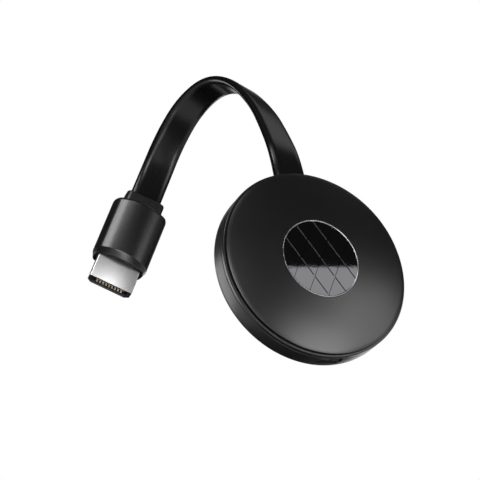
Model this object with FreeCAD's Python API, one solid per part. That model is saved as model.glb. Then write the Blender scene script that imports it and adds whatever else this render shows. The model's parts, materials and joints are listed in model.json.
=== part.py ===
import FreeCAD, Part
import math
import os
from FreeCAD import Matrix, Placement, Rotation, Vector

# Wireless display dongle: a round puck, a short flat cable and a plug.
# All sizes are millimetres. The frame's origin is the middle of the plug's mouth.
# +Z runs the way the cable leaves the puck, and the puck's face looks towards -Y.
os.makedirs("parts", exist_ok=True)

# Round puck, measured upwards from its flat back
PUCK_R = 28.8
RIM_Z = 7.2
BAND_DRAFT = 0.15
BACK_CORNER = 3.0
SHELL_WALL = 1.6
BACK_WALL = 1.5
TONGUE_WALL = 0.7
TONGUE_RISE = 0.7
SEAM_CHAMFER = 0.2
RING_HEIGHT = 1.4
RING_CHAMFER = 0.3
REVEAL_WIDTH = 0.6
COVER_OVERHANG = 0.9
COVER_EDGE_RISE = 1.45
COVER_EDGE_LIP = 0.12
DOME_RISE = 3.35
COVER_WALL = 1.4
SKIRT_DEPTH = 1.0
SKIRT_WALL = 1.3

# Emblem plate, set flush in the dome's middle
EMBLEM_R = 11.6
EMBLEM_THICK = 0.8
EMBLEM_SINK = 0.05
BEZEL_WIDTH = 0.35
GROOVE_WIDTH = 0.4
GROOVE_DEPTH = 0.25
GROOVE_PITCH = 5.6
GROOVE_COUNT = 3
GROOVE_ANGLE = 60.0
POCKET_FLOOR = 1.3

# Main board and what it carries
BOARD_GAP = 1.7
BOARD_THICK = 1.0
BOARD_Z = 3.2
BOSS_R = 2.2
BOSS_CIRCLE = 18.0
BOSS_ANGLES = (50.0, 195.0, 300.0)
SCREW_R = 0.85
SCREW_HEAD_R = 1.9
SCREW_HEAD_H = 1.3
SCREW_HEAD_ROUND = 0.5
SCREW_SOCKET_R = 0.5
SCREW_SOCKET_DEPTH = 0.6
PROCESSOR = (14.0, 14.0, 1.2)
PROCESSOR_AT = (0.0, 2.0)
PAD_SIZE = 11.0
PAD_THICK = 0.6
SPREADER = (16.0, 16.0, 0.8)
LEG_SIZE = 1.6
MEMORY = (9.0, 11.0, 1.0)
MEMORY_AT = (14.5, 2.5)
FLASH = (11.0, 10.0, 1.0)
FLASH_AT = (-2.5, -14.0)
RADIO_BOARD = (11.0, 9.0, 0.8)
RADIO_AT = (-15.7, 4.5)
RADIO_CAN = (9.6, 7.6, 1.4)
CAN_WALL = 0.2
ANTENNA = (12.0, 0.3, 3.2)
ANTENNA_INSET = 3.0
ANTENNA_ANGLE = 130.0
ANTENNA_SLOT = (-3.6, 4.8)
ANTENNA_SLOT_Z = (1.0, 2.2)
CRYSTAL = (3.2, 2.5, 0.8)
CRYSTAL_AT = (-14.0, -10.5)
REGULATOR = (3.0, 3.0, 1.0)
REGULATOR_AT = (9.0, -9.0)
INDUCTOR = (4.0, 4.0, 2.0)
INDUCTOR_PLACES = ((13.0, -8.2), (13.2, -13.0))
CAPACITOR = (1.6, 0.9, 0.8)
CAPACITOR_AT = (-8.0, 12.8)
CAPACITOR_PITCH = 3.0
CAPACITOR_ROW_PITCH = 2.4
CAPACITOR_COLUMNS = 6
CAPACITOR_ROWS = 2

# Power socket, opposite the cable
SOCKET_WIDTH = 7.5
SOCKET_HEIGHT = 2.5
SOCKET_DEPTH = 5.0
SOCKET_WALL = 0.3
SOCKET_CORNER = 0.6
SOCKET_SINK = 0.8
SOCKET_MARGIN = 0.2
BLADE_WIDTH = 3.9
BLADE_THICK = 0.65
BLADE_LENGTH = 3.4
PIN_COUNT = 5
PIN_PITCH = 0.65
PIN_WIDTH = 0.35
PIN_THICK = 0.12
PIN_SETBACK = 0.35
SEAT_NOTCH = 0.3

# Reset button, its switch, and the lamp beside it
BUTTON_ANGLE = -22.0
BUTTON_Z = 5.0
BUTTON_R = 1.2
BUTTON_ROUND = 0.3
BUTTON_FLANGE_R = 1.7
BUTTON_FLANGE_THICK = 0.8
BUTTON_STEM_R = 0.65
BUTTON_PROUD = 0.25
BUTTON_TRAVEL = 0.3
BUTTON_CLEAR = 0.12
SWITCH = (3.0, 4.2, 1.7)
SWITCH_GAP = 4.0
PLUNGER_OUT = 0.5
PLUNGER_IN = 1.2
PLUNGER_WIDTH = 1.6
PLUNGER_HEIGHT = 0.9
LAMP_ANGLE = -36.0
LAMP = (1.0, 1.6, 1.2)
LAMP_GAP = 3.3
PIPE_R = 0.75
PIPE_GAP = 0.1

# Flat cable and the gland that it leaves by
CABLE_WIDTH = 10.0
CABLE_THICK = 2.6
CABLE_CORNER = 1.25
CABLE_Z = 4.0
GLAND_WIDTH = 11.4
GLAND_HEIGHT = 4.2
GLAND_PROUD = 0.8
GLAND_CORNER = 1.2
GLAND_FLANGE_WIDTH = 13.4
GLAND_FLANGE_THICK = 1.4
GLAND_INSIDE = 1.6
WIRE_R = 0.2
WIRE_COUNT = 19
WIRE_PITCH = 0.46
PAD_OVERLAP = 3.2
NOTCH_GAP = 0.6

# Display plug, measured back from its mouth
SHELL_WIDTH = 13.9
SHELL_HEIGHT = 4.45
SHELL_WALL_STEEL = 0.3
SHELL_BEVEL = 1.3
SHELL_CORNER = 0.36
SHELL_SHOWS = 7.9
SHELL_INSIDE = 5.6
LATCH_WINDOW = (2.2, 1.6)
LATCH_BACK = 3.2
LATCH_SPREAD = 7.0
MOULD_LENGTH = 20.9
MOULD_HALF_WIDTH = 8.85
MOULD_SHOULDER_X = 7.7
MOULD_SHOULDER_Y = 3.5
MOULD_CROWN = 5.9
MOULD_EDGE = 0.7
MOULD_REAR_ROUND = 1.1
BEVEL_LENGTH = 1.7
BEVEL_SHOULDER_X = 7.6
BEVEL_SHOULDER_Y = 2.85
BEVEL_CROWN = 4.85
BEVEL_HALF_WIDTH = 8.15
NOSE_INSET = 0.12
NOSE_SINK = 1.0
NOSE_THICK = 1.5
CAVITY_WIDTH = 14.3
CAVITY_HEIGHT = 5.6
CAVITY_CORNER = 1.0
REAR_WALL = 2.0
COLLAR_WIDTH = 12.5
COLLAR_HEIGHT = 6.4
COLLAR_LENGTH = 4.0
COLLAR_CORNER = 1.6
COLLAR_EDGE = 0.6
STEM_WIDTH = 8.0
STEM_HEIGHT = 4.0
INSULATOR_SINK = 0.3
INSULATOR_LENGTH = 11.5
MATE_SLOT_WIDTH = 11.6
MATE_SLOT_DEPTH = 7.5
CONTACT_WIDTH = 0.45
CONTACT_THICK = 0.4
CONTACT_PITCH = 1.0
CONTACT_SINK = 0.15
UPPER_CONTACTS = 10
LOWER_CONTACTS = 9
PLUG_BOARD_THICK = 1.2
PLUG_BOARD_LENGTH = 9.5
PLUG_BOARD_INSET = 0.4
PLUG_WIRE_PITCH = 0.69
TAIL_LENGTH = 1.8
FRAME_WALL = 0.7
WIRE_LAP = 3.0

# Running and assembly clearances
FIT = 0.05
LOOSE = 0.1

# How far a cutting shape runs past what it cuts, and what counts as the same place
CUT_PAST = 2.0
SAME_POINT = 1e-6
SAME_LEVEL = 1e-3

# Where the two ends lie, and the hand-chosen route between them
PUCK_BACK = Vector(34.8, -54.0, -20.6)
PLUG_POINTS = Vector(-0.477, 0.068, -0.876)
PLUG_ACROSS = Vector(0.873, -0.078, -0.482)
PUCK_STRAIGHT = 7.2
PLUG_STRAIGHT = 9.2
ROUTE_MIDDLE = (
    Vector(36.7, -52.0, 27.6),
    Vector(37.7, -45.8, 39.6),
    Vector(36.1, -37.8, 51.4),
    Vector(33.2, -28.3, 57.2),
    Vector(29.3, -16.7, 55.4),
    Vector(25.0, -8.0, 47.7),
)
ARC_SHARE = 0.45
ARC_STEPS = 4

X_AXIS = Vector(1, 0, 0)
Y_AXIS = Vector(0, 1, 0)
Z_AXIS = Vector(0, 0, 1)
ORIGIN = Vector(0, 0, 0)


# Small shape helpers
def box(x0, x1, y0, y1, z0, z1):
    """Box between two corners."""
    return Part.makeBox(x1 - x0, y1 - y0, z1 - z0, Vector(x0, y0, z0))


def block(size, at, base_z):
    """Box of the given size, centred at a place on the board."""
    half_x = size[0] / 2
    half_y = size[1] / 2
    return box(at[0] - half_x, at[0] + half_x, at[1] - half_y, at[1] + half_y,
               base_z, base_z + size[2])


def upright_edges(shape):
    """Edges that run straight up."""
    return [e for e in shape.Edges if abs(abs(e.tangentAt(e.FirstParameter).z) - 1) < SAME_LEVEL]


def edges_at(shape, height):
    """Edges that lie wholly at one height."""
    return [e for e in shape.Edges
            if abs(e.BoundBox.ZMin - height) < SAME_LEVEL
            and abs(e.BoundBox.ZMax - height) < SAME_LEVEL]


def round_bar(width, height, corner, start, length, along=Z_AXIS, offset=ORIGIN):
    """Bar with rounded corners, its section across X and one other axis."""
    bar = Part.makeBox(width, height, length, Vector(-width / 2, -height / 2, 0))
    bar = bar.makeFillet(corner, upright_edges(bar))
    if along == Y_AXIS:
        bar.rotate(ORIGIN, X_AXIS, -90)
    bar.translate(offset + along * start)
    return bar


def turned(points):
    """Solid of revolution about Z from a closed outline of (radius, height) points.

    A point given as a pair of pairs is an arc's middle and its end.
    """
    edges = []
    last = Vector(points[0][0], 0, points[0][1])
    first = last
    for item in list(points[1:]) + [points[0]]:
        if isinstance(item[0], tuple):
            middle = Vector(item[0][0], 0, item[0][1])
            end = Vector(item[1][0], 0, item[1][1])
            edges.append(Part.Arc(last, middle, end).toShape())
        else:
            end = Vector(item[0], 0, item[1])
            if end.distanceToPoint(last) > SAME_POINT:
                edges.append(Part.LineSegment(last, end).toShape())
        last = end
    if last.distanceToPoint(first) > SAME_POINT:
        edges.append(Part.LineSegment(last, first).toShape())
    return Part.Face(Part.Wire(edges)).revolve(ORIGIN, Z_AXIS, 360)


def polar(radius, degrees):
    """Point on a circle in the board's plane."""
    turn = math.radians(degrees)
    return Vector(radius * math.cos(turn), radius * math.sin(turn), 0)


def spun(shape, degrees):
    """Shape turned about the puck's axis."""
    shape = shape.copy()
    shape.rotate(ORIGIN, Z_AXIS, degrees)
    return shape


def joined(shapes):
    """One solid from shapes that overlap or share faces."""
    whole = shapes[0].fuse(shapes[1:])
    return whole.removeSplitter()


def in_puck(shape):
    """Puck pieces are drawn face up and then stood up, face towards -Y."""
    shape = shape.copy()
    shape.Placement = Placement(PUCK_BACK, Rotation(X_AXIS, 90)).multiply(shape.Placement)
    return shape


def plug_axes():
    """Unit vectors across the plug, through its crown, and the way it points."""
    points = Vector(PLUG_POINTS).normalize()
    across = PLUG_ACROSS - points * PLUG_ACROSS.dot(points)
    across.normalize()
    return across, points.cross(across), points


def in_plug(shape):
    """Plug pieces are drawn with the mouth at zero and the body behind it."""
    across, crown, points = plug_axes()
    turn = Matrix(across.x, crown.x, points.x, 0,
                  across.y, crown.y, points.y, 0,
                  across.z, crown.z, points.z, 0,
                  0, 0, 0, 1)
    shape = shape.copy()
    shape.Placement = Placement(turn).multiply(shape.Placement)
    return shape


def save(name, shapes):
    """Write one node, as one solid or as a group of separate solids."""
    solids = [s for shape in shapes for s in shape.Solids]
    for solid in solids:
        if not solid.isValid():
            print("not valid:", name)
    whole = solids[0] if len(solids) == 1 else Part.makeCompound(solids)
    whole.exportStep("parts/" + name + ".step")
    print("%-20s %2d solids, %9.1f mm3" % (name, len(solids), whole.Volume))


# Sizes that follow from the ones above
SHELL_R = PUCK_R - BAND_DRAFT
CAVITY_R = PUCK_R - SHELL_WALL - SEAM_CHAMFER
TONGUE_TOP = RIM_Z + TONGUE_RISE
TONGUE_R = CAVITY_R + TONGUE_WALL
RING_IN_R = TONGUE_R + LOOSE
RING_TOP = RIM_Z + RING_HEIGHT
COVER_BODY_R = RING_IN_R - REVEAL_WIDTH
COVER_EDGE_R = COVER_BODY_R + COVER_OVERHANG
COVER_EDGE_Z = TONGUE_TOP + COVER_EDGE_RISE
DOME_TOP = COVER_EDGE_Z + DOME_RISE
DOME_R = (COVER_EDGE_R ** 2 + DOME_RISE ** 2) / (2 * DOME_RISE)
DOME_CENTRE = DOME_TOP - DOME_R
SKIRT_R = CAVITY_R - LOOSE
SKIRT_FOOT = TONGUE_TOP - SKIRT_DEPTH
BEZEL_R = EMBLEM_R + FIT + BEZEL_WIDTH
EMBLEM_TOP = DOME_CENTRE + math.sqrt(DOME_R ** 2 - BEZEL_R ** 2) - EMBLEM_SINK
POCKET_Z = EMBLEM_TOP - EMBLEM_THICK
BOARD_R = CAVITY_R - BOARD_GAP
BOARD_TOP = BOARD_Z + BOARD_THICK
ANTENNA_CIRCLE = BOARD_R - ANTENNA_INSET
SWITCH_CIRCLE = CAVITY_R - SWITCH_GAP
LAMP_CIRCLE = CAVITY_R - LAMP_GAP
SOCKET_Z = BOARD_TOP + SOCKET_HEIGHT / 2
GLAND_FACE = PUCK_R - SEAM_CHAMFER + GLAND_PROUD + LOOSE
FLANGE_FACE = math.sqrt(CAVITY_R ** 2 - (GLAND_FLANGE_WIDTH / 2) ** 2) - LOOSE
GLAND_BACK = FLANGE_FACE - GLAND_INSIDE
MOULD_FRONT = -SHELL_SHOWS
MOULD_BACK = MOULD_FRONT - MOULD_LENGTH
PLUG_LENGTH = SHELL_SHOWS + MOULD_LENGTH + COLLAR_LENGTH
SHELL_BACK = MOULD_FRONT - SHELL_INSIDE
STEM_BACK = MOULD_BACK + REAR_WALL + LOOSE
CONTACT_Y = PLUG_BOARD_THICK / 2
MATE_SLOT_HALF = CONTACT_Y + CONTACT_THICK


def dome_height(radius, drop=0.0):
    """Height of the dome's skin, or of a skin the given distance below it."""
    return DOME_CENTRE + math.sqrt((DOME_R - drop) ** 2 - radius ** 2)


# Puck casing
def lower_shell():
    """Moulded tub: rounded back corner, drafted band, tongue for the cover."""
    corner_in = BACK_CORNER - SHELL_WALL / 2
    turn = math.radians(45)
    shell = turned([
        (0.0, 0.0),
        (SHELL_R - BACK_CORNER, 0.0),
        ((SHELL_R - BACK_CORNER * (1 - math.sin(turn)), BACK_CORNER * (1 - math.cos(turn))),
         (SHELL_R, BACK_CORNER)),
        (PUCK_R, RIM_Z - SEAM_CHAMFER),
        (PUCK_R - SEAM_CHAMFER, RIM_Z),
        (TONGUE_R, RIM_Z),
        (TONGUE_R, TONGUE_TOP),
        (CAVITY_R, TONGUE_TOP),
        (CAVITY_R, BACK_WALL + corner_in),
        ((CAVITY_R - corner_in * (1 - math.sin(turn)), BACK_WALL + corner_in * (1 - math.cos(turn))),
         (CAVITY_R - corner_in, BACK_WALL)),
        (0.0, BACK_WALL),
    ])
    bosses = []
    pilots = []
    for angle in BOSS_ANGLES:
        at = polar(BOSS_CIRCLE, angle)
        foot = BACK_WALL - LOOSE
        bosses.append(Part.makeCylinder(BOSS_R, BOARD_Z - foot, at + Z_AXIS * foot))
        pilots.append(Part.makeCylinder(SCREW_R + FIT, BOARD_Z - BACK_WALL + SEAM_CHAMFER,
                                        at + Z_AXIS * (BACK_WALL - SEAM_CHAMFER)))
    shell = joined([shell] + bosses)
    wall_in = CAVITY_R - CUT_PAST
    wall_out = PUCK_R + CUT_PAST
    reach = wall_out - wall_in
    flange_way = round_bar(GLAND_FLANGE_WIDTH + 2 * LOOSE, GLAND_HEIGHT + 2 * LOOSE, GLAND_CORNER,
                           GLAND_BACK, FLANGE_FACE + LOOSE - GLAND_BACK, Y_AXIS, Z_AXIS * CABLE_Z)
    gland_way = round_bar(GLAND_WIDTH + 2 * FIT, GLAND_HEIGHT + 2 * FIT, GLAND_CORNER,
                          wall_in, reach, Y_AXIS, Z_AXIS * CABLE_Z)
    socket_way = round_bar(SOCKET_WIDTH + 2 * SOCKET_MARGIN, SOCKET_HEIGHT + 2 * SOCKET_MARGIN,
                           SOCKET_CORNER + SOCKET_MARGIN, -wall_out, reach,
                           Y_AXIS, Z_AXIS * SOCKET_Z)
    button_way = spun(Part.makeCylinder(BUTTON_R + BUTTON_CLEAR, reach,
                                        Vector(wall_in, 0, BUTTON_Z), X_AXIS), BUTTON_ANGLE)
    pipe_way = spun(Part.makeCylinder(PIPE_R + FIT, reach,
                                      Vector(wall_in, 0, BUTTON_Z), X_AXIS), LAMP_ANGLE)
    return shell.cut(pilots + [flange_way, gland_way, socket_way, button_way, pipe_way])


def trim_ring():
    """Thin ring on the shell's rim, with a bright chamfered ledge."""
    outer = PUCK_R
    return turned([
        (RING_IN_R, RIM_Z),
        (outer - SEAM_CHAMFER, RIM_Z),
        (outer, RIM_Z + SEAM_CHAMFER),
        (outer, RING_TOP - RING_CHAMFER),
        (outer - RING_CHAMFER, RING_TOP),
        (RING_IN_R, RING_TOP),
    ])


def top_cover():
    """Domed lid with a sharp overhanging edge and a pocket for the emblem."""
    edge = (COVER_EDGE_R, COVER_EDGE_Z - COVER_EDGE_LIP)
    half_r = COVER_EDGE_R / 2
    inner_r = SKIRT_R - SKIRT_WALL
    boss_r = BEZEL_R + POCKET_FLOOR
    boss_z = POCKET_Z - POCKET_FLOOR
    inner_mid = (inner_r + boss_r) / 2
    cover = turned([
        (0.0, DOME_TOP),
        ((half_r, dome_height(half_r)), (COVER_EDGE_R, COVER_EDGE_Z)),
        edge,
        (COVER_BODY_R, COVER_EDGE_Z - COVER_EDGE_LIP - COVER_OVERHANG),
        (COVER_BODY_R, TONGUE_TOP),
        (SKIRT_R, TONGUE_TOP),
        (SKIRT_R, SKIRT_FOOT),
        (inner_r, SKIRT_FOOT),
        (inner_r, dome_height(inner_r, COVER_WALL)),
        ((inner_mid, dome_height(inner_mid, COVER_WALL)),
         (boss_r, dome_height(boss_r, COVER_WALL))),
        (boss_r, boss_z),
        (0.0, boss_z),
    ])
    pocket = Part.makeCylinder(BEZEL_R + FIT, EMBLEM_THICK + CUT_PAST, Z_AXIS * POCKET_Z)
    return cover.cut(pocket)


def emblem_plate():
    """Flat gloss plate with a plain diamond lattice of fine grooves."""
    plate = Part.makeCylinder(EMBLEM_R, EMBLEM_THICK, Z_AXIS * POCKET_Z)
    grooves = []
    for lean in (-GROOVE_ANGLE / 2, GROOVE_ANGLE / 2):
        for step in range(GROOVE_COUNT):
            at = (step - (GROOVE_COUNT - 1) / 2) * GROOVE_PITCH
            half = EMBLEM_R + LOOSE
            cut = box(at - GROOVE_WIDTH / 2, at + GROOVE_WIDTH / 2, -half, half,
                      EMBLEM_TOP - GROOVE_DEPTH, EMBLEM_TOP + LOOSE)
            grooves.append(spun(cut, lean))
    return plate.cut(grooves)


def emblem_bezel():
    """Narrow bright ring around the emblem plate."""
    chamfer = BEZEL_WIDTH / 2
    return turned([
        (EMBLEM_R + FIT, POCKET_Z),
        (BEZEL_R, POCKET_Z),
        (BEZEL_R, EMBLEM_TOP + EMBLEM_SINK),
        (BEZEL_R - chamfer, EMBLEM_TOP + EMBLEM_SINK + chamfer / 2),
        (EMBLEM_R + FIT, EMBLEM_TOP),
    ])


# Main board and its pieces
def main_board():
    """Round board with a notch for the gland and three screw holes."""
    board = Part.makeCylinder(BOARD_R, BOARD_THICK, Z_AXIS * BOARD_Z)
    half = GLAND_FLANGE_WIDTH / 2 + NOTCH_GAP
    notch = box(-half, half, GLAND_BACK - NOTCH_GAP, PUCK_R,
                BOARD_Z - CUT_PAST, BOARD_TOP + CUT_PAST)
    holes = [Part.makeCylinder(SCREW_R + 2 * LOOSE, BOARD_THICK,
                               polar(BOSS_CIRCLE, angle) + Z_AXIS * BOARD_Z)
             for angle in BOSS_ANGLES]
    return board.cut([notch] + holes)


def board_screws():
    """Pan-head screws with a socket, from the board down into the bosses."""
    screws = []
    for angle in BOSS_ANGLES:
        at = polar(BOSS_CIRCLE, angle)
        head = Part.makeCylinder(SCREW_HEAD_R, SCREW_HEAD_H, at + Z_AXIS * BOARD_TOP)
        head = head.makeFillet(SCREW_HEAD_ROUND, edges_at(head, BOARD_TOP + SCREW_HEAD_H))
        shank = Part.makeCylinder(SCREW_R, BOARD_TOP - BACK_WALL, at + Z_AXIS * BACK_WALL)
        socket = Part.makeCylinder(SCREW_SOCKET_R, SCREW_SOCKET_DEPTH + CUT_PAST,
                                   at + Z_AXIS * (BOARD_TOP + SCREW_HEAD_H - SCREW_SOCKET_DEPTH))
        screws.append(joined([head, shank]).cut(socket))
    return screws


def heat_spreader():
    """Flat plate over the processor, on four bent legs that reach the board."""
    base = BOARD_TOP + PROCESSOR[2] + PAD_THICK
    plate = block(SPREADER, PROCESSOR_AT, base)
    legs = []
    for side_x in (-1, 1):
        for side_y in (-1, 1):
            leg_x = PROCESSOR_AT[0] + side_x * (SPREADER[0] - LEG_SIZE) / 2
            leg_y = PROCESSOR_AT[1] + side_y * (SPREADER[1] - SPREADER[2]) / 2
            size = (LEG_SIZE, SPREADER[2], base - BOARD_TOP + SPREADER[2] / 2)
            legs.append(block(size, (leg_x, leg_y), BOARD_TOP))
    return joined([plate] + legs)


def radio_can():
    """Pressed tin over the radio's chips, open towards its board."""
    base = BOARD_TOP + RADIO_BOARD[2]
    can = block(RADIO_CAN, RADIO_AT, base)
    hollow = (RADIO_CAN[0] - 2 * CAN_WALL, RADIO_CAN[1] - 2 * CAN_WALL, RADIO_CAN[2] - CAN_WALL)
    return can.cut(block(hollow, RADIO_AT, base))


def antenna_strip():
    """Stamped strip standing on the board's edge, with a window cut in it."""
    strip = block(ANTENNA, (0, 0), BOARD_TOP)
    window = box(ANTENNA_SLOT[0], ANTENNA_SLOT[1], -CUT_PAST, CUT_PAST,
                 BOARD_TOP + ANTENNA_SLOT_Z[0], BOARD_TOP + ANTENNA_SLOT_Z[1])
    strip = strip.cut(window)
    strip.rotate(ORIGIN, Z_AXIS, 90)
    strip.translate(X_AXIS * ANTENNA_CIRCLE)
    return spun(strip, ANTENNA_ANGLE)


def inductors():
    """Power coils in square cases."""
    return [block(INDUCTOR, at, BOARD_TOP) for at in INDUCTOR_PLACES]


def capacitors():
    """Small chip capacitors in rows between the processor and the cable pads."""
    chips = []
    for row in range(CAPACITOR_ROWS):
        for column in range(CAPACITOR_COLUMNS):
            at = (CAPACITOR_AT[0] + column * CAPACITOR_PITCH,
                  CAPACITOR_AT[1] + row * CAPACITOR_ROW_PITCH)
            chips.append(block(CAPACITOR, at, BOARD_TOP))
    return chips


# Power socket
def socket_shell():
    """Folded steel shell of the power socket, open at its mouth."""
    mouth = -(PUCK_R - SOCKET_SINK)
    outer = round_bar(SOCKET_WIDTH, SOCKET_HEIGHT, SOCKET_CORNER, mouth, SOCKET_DEPTH,
                      Y_AXIS, Z_AXIS * SOCKET_Z)
    inner = round_bar(SOCKET_WIDTH - 2 * SOCKET_WALL, SOCKET_HEIGHT - 2 * SOCKET_WALL,
                      SOCKET_CORNER - SOCKET_WALL, mouth - LOOSE,
                      SOCKET_DEPTH - SOCKET_WALL + LOOSE, Y_AXIS, Z_AXIS * SOCKET_Z)
    return outer.cut(inner)


def socket_blade():
    """Plastic blade in the power socket, on a block that fills the shell's back."""
    back = -(PUCK_R - SOCKET_SINK) + SOCKET_DEPTH - SOCKET_WALL
    root = SOCKET_DEPTH - SOCKET_WALL - BLADE_LENGTH - LOOSE * 2
    half = BLADE_WIDTH / 2
    blade_z = SOCKET_Z + BLADE_THICK / 2
    blade = box(-half, half, back - root - BLADE_LENGTH, back - root + LOOSE,
                blade_z - BLADE_THICK / 2, blade_z + BLADE_THICK / 2)
    width = SOCKET_WIDTH / 2 - SOCKET_WALL - SEAT_NOTCH
    rise = SOCKET_HEIGHT / 2 - SOCKET_WALL
    seat = box(-width, width, back - root, back, SOCKET_Z - rise, SOCKET_Z + rise)
    return joined([blade, seat])


def socket_pins():
    """Contacts on the blade's underside."""
    back = -(PUCK_R - SOCKET_SINK) + SOCKET_DEPTH - SOCKET_WALL
    root = SOCKET_DEPTH - SOCKET_WALL - BLADE_LENGTH - LOOSE * 2
    blade_end = back - root - BLADE_LENGTH
    under = SOCKET_Z
    pins = []
    for k in range(PIN_COUNT):
        x = (k - (PIN_COUNT - 1) / 2) * PIN_PITCH
        pins.append(box(x - PIN_WIDTH / 2, x + PIN_WIDTH / 2, blade_end + PIN_SETBACK,
                        back - root, under - PIN_THICK, under))
    return pins


# Reset button, its switch and the lamp
def reset_button():
    """Round cap through the band, with a flange inside and a stem to the switch."""
    face = math.sqrt(PUCK_R ** 2 - BUTTON_R ** 2) + BUTTON_PROUD
    flange_out = math.sqrt(CAVITY_R ** 2 - BUTTON_FLANGE_R ** 2) - LOOSE
    flange_in = flange_out - BUTTON_FLANGE_THICK
    stem_in = SWITCH_CIRCLE + SWITCH[0] / 2 + PLUNGER_OUT
    cap = Part.makeCylinder(BUTTON_R, face - flange_in, Vector(flange_in, 0, BUTTON_Z), X_AXIS)
    cap = cap.makeFillet(BUTTON_ROUND, [e for e in cap.Edges if e.BoundBox.XMin > face - LOOSE])
    flange = Part.makeCylinder(BUTTON_FLANGE_R, BUTTON_FLANGE_THICK,
                               Vector(flange_in, 0, BUTTON_Z), X_AXIS)
    stem = Part.makeCylinder(BUTTON_STEM_R, flange_out - stem_in, Vector(stem_in, 0, BUTTON_Z), X_AXIS)
    return spun(joined([cap, flange, stem]), BUTTON_ANGLE)


def switch_plunger():
    """Slider of the side-push switch."""
    face = SWITCH_CIRCLE + SWITCH[0] / 2
    half_w = PLUNGER_WIDTH / 2
    half_h = PLUNGER_HEIGHT / 2
    plunger = box(face - PLUNGER_IN, face + PLUNGER_OUT, -half_w, half_w,
                  BUTTON_Z - half_h, BUTTON_Z + half_h)
    return spun(plunger, BUTTON_ANGLE)


def switch_body():
    """Case of the side-push switch, with the slot that its plunger slides in."""
    case = block(SWITCH, (SWITCH_CIRCLE, 0), BOARD_TOP)
    face = SWITCH_CIRCLE + SWITCH[0] / 2
    half_w = PLUNGER_WIDTH / 2 + FIT
    half_h = PLUNGER_HEIGHT / 2 + FIT
    slot = box(face - PLUNGER_IN - BUTTON_TRAVEL - FIT, face + CUT_PAST, -half_w, half_w,
               BUTTON_Z - half_h, BUTTON_Z + half_h)
    return spun(case.cut(slot), BUTTON_ANGLE)


def light_pipe():
    """Clear rod from the lamp to the band's surface."""
    start = LAMP_CIRCLE + LAMP[0] / 2 + PIPE_GAP
    end = math.sqrt(PUCK_R ** 2 - PIPE_R ** 2) - BAND_DRAFT
    rod = Part.makeCylinder(PIPE_R, end - start, Vector(start, 0, BUTTON_Z), X_AXIS)
    return spun(rod, LAMP_ANGLE)


# Cable ends inside the puck
def cable_gland():
    """Moulded block that holds the flat cable in the band's slot."""
    bar = round_bar(GLAND_WIDTH, GLAND_HEIGHT, GLAND_CORNER, GLAND_BACK, GLAND_FACE - GLAND_BACK,
                    Y_AXIS, Z_AXIS * CABLE_Z)
    flange = round_bar(GLAND_FLANGE_WIDTH, GLAND_HEIGHT, GLAND_CORNER,
                       FLANGE_FACE - GLAND_FLANGE_THICK, GLAND_FLANGE_THICK,
                       Y_AXIS, Z_AXIS * CABLE_Z)
    return joined([bar, flange])


def wire_places(count):
    """Middle of each wire across the cable."""
    return [(k - (count - 1) / 2) * WIRE_PITCH for k in range(count)]


def puck_wires():
    """Conductors from the gland to their pads on the board."""
    pad_edge = GLAND_BACK - NOTCH_GAP - PAD_OVERLAP
    return [Part.makeCylinder(WIRE_R, GLAND_BACK - pad_edge,
                              Vector(x, pad_edge, BOARD_TOP + WIRE_R), Y_AXIS)
            for x in wire_places(WIRE_COUNT)]


# Flat cable
def route_points():
    """Corner points of the cable's route, from the gland to the plug's collar."""
    points = plug_axes()[2]
    leaves = PUCK_BACK + Vector(0, -CABLE_Z, GLAND_FACE)
    arrives = points * -PLUG_LENGTH
    return ([leaves, leaves + Z_AXIS * PUCK_STRAIGHT] + [Vector(p) for p in ROUTE_MIDDLE]
            + [arrives - points * PLUG_STRAIGHT, arrives])


def route_stations(corners):
    """Places, ways and outward sides along straight runs joined by tangent arcs."""
    runs = [b - a for a, b in zip(corners, corners[1:])]
    ways = [Vector(r).normalize() for r in runs]
    outward = Vector(0, -1, 0)
    stations = [(corners[0], ways[0], outward)]
    radii = []
    for k in range(1, len(corners) - 1):
        turn = ways[k - 1].getAngle(ways[k])
        reach = ARC_SHARE * min(runs[k - 1].Length, runs[k].Length)
        radius = reach / math.tan(turn / 2)
        radii.append(radius)
        start = corners[k] - ways[k - 1] * reach
        axis = ways[k - 1].cross(ways[k]).normalize()
        centre = start + axis.cross(ways[k - 1]) * radius
        for step in range(ARC_STEPS + 1):
            spin = Rotation(axis, math.degrees(turn) * step / ARC_STEPS)
            stations.append((centre + spin.multVec(start - centre),
                             spin.multVec(ways[k - 1]), spin.multVec(outward)))
        outward = stations[-1][2]
    stations.append((corners[-1], ways[-1], outward))
    print("cable radii:", ", ".join("%.1f" % r for r in radii))
    return stations


def cable_section(centre, across, outward):
    """Outline of the flat cable: a rounded rectangle square to the route."""
    half_w = CABLE_WIDTH / 2
    half_t = CABLE_THICK / 2
    flat_w = half_w - CABLE_CORNER
    flat_t = half_t - CABLE_CORNER
    bulge = CABLE_CORNER * math.sqrt(0.5)

    def at(x, y):
        return centre + across * x + outward * y

    edges = []
    for sx, sy in ((1, 1), (-1, 1), (-1, -1), (1, -1)):
        flat_end = at(sx * flat_w, sy * half_t)
        side_end = at(sx * half_w, sy * flat_t)
        middle = at(sx * (flat_w + bulge), sy * (flat_t + bulge))
        first, second = (side_end, flat_end) if sx * sy > 0 else (flat_end, side_end)
        edges.append((first, middle, second))
    outline = []
    for k, (first, middle, second) in enumerate(edges):
        outline.append(Part.Arc(first, middle, second).toShape())
        outline.append(Part.LineSegment(second, edges[(k + 1) % 4][0]).toShape())
    return Part.Wire(outline)


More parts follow.
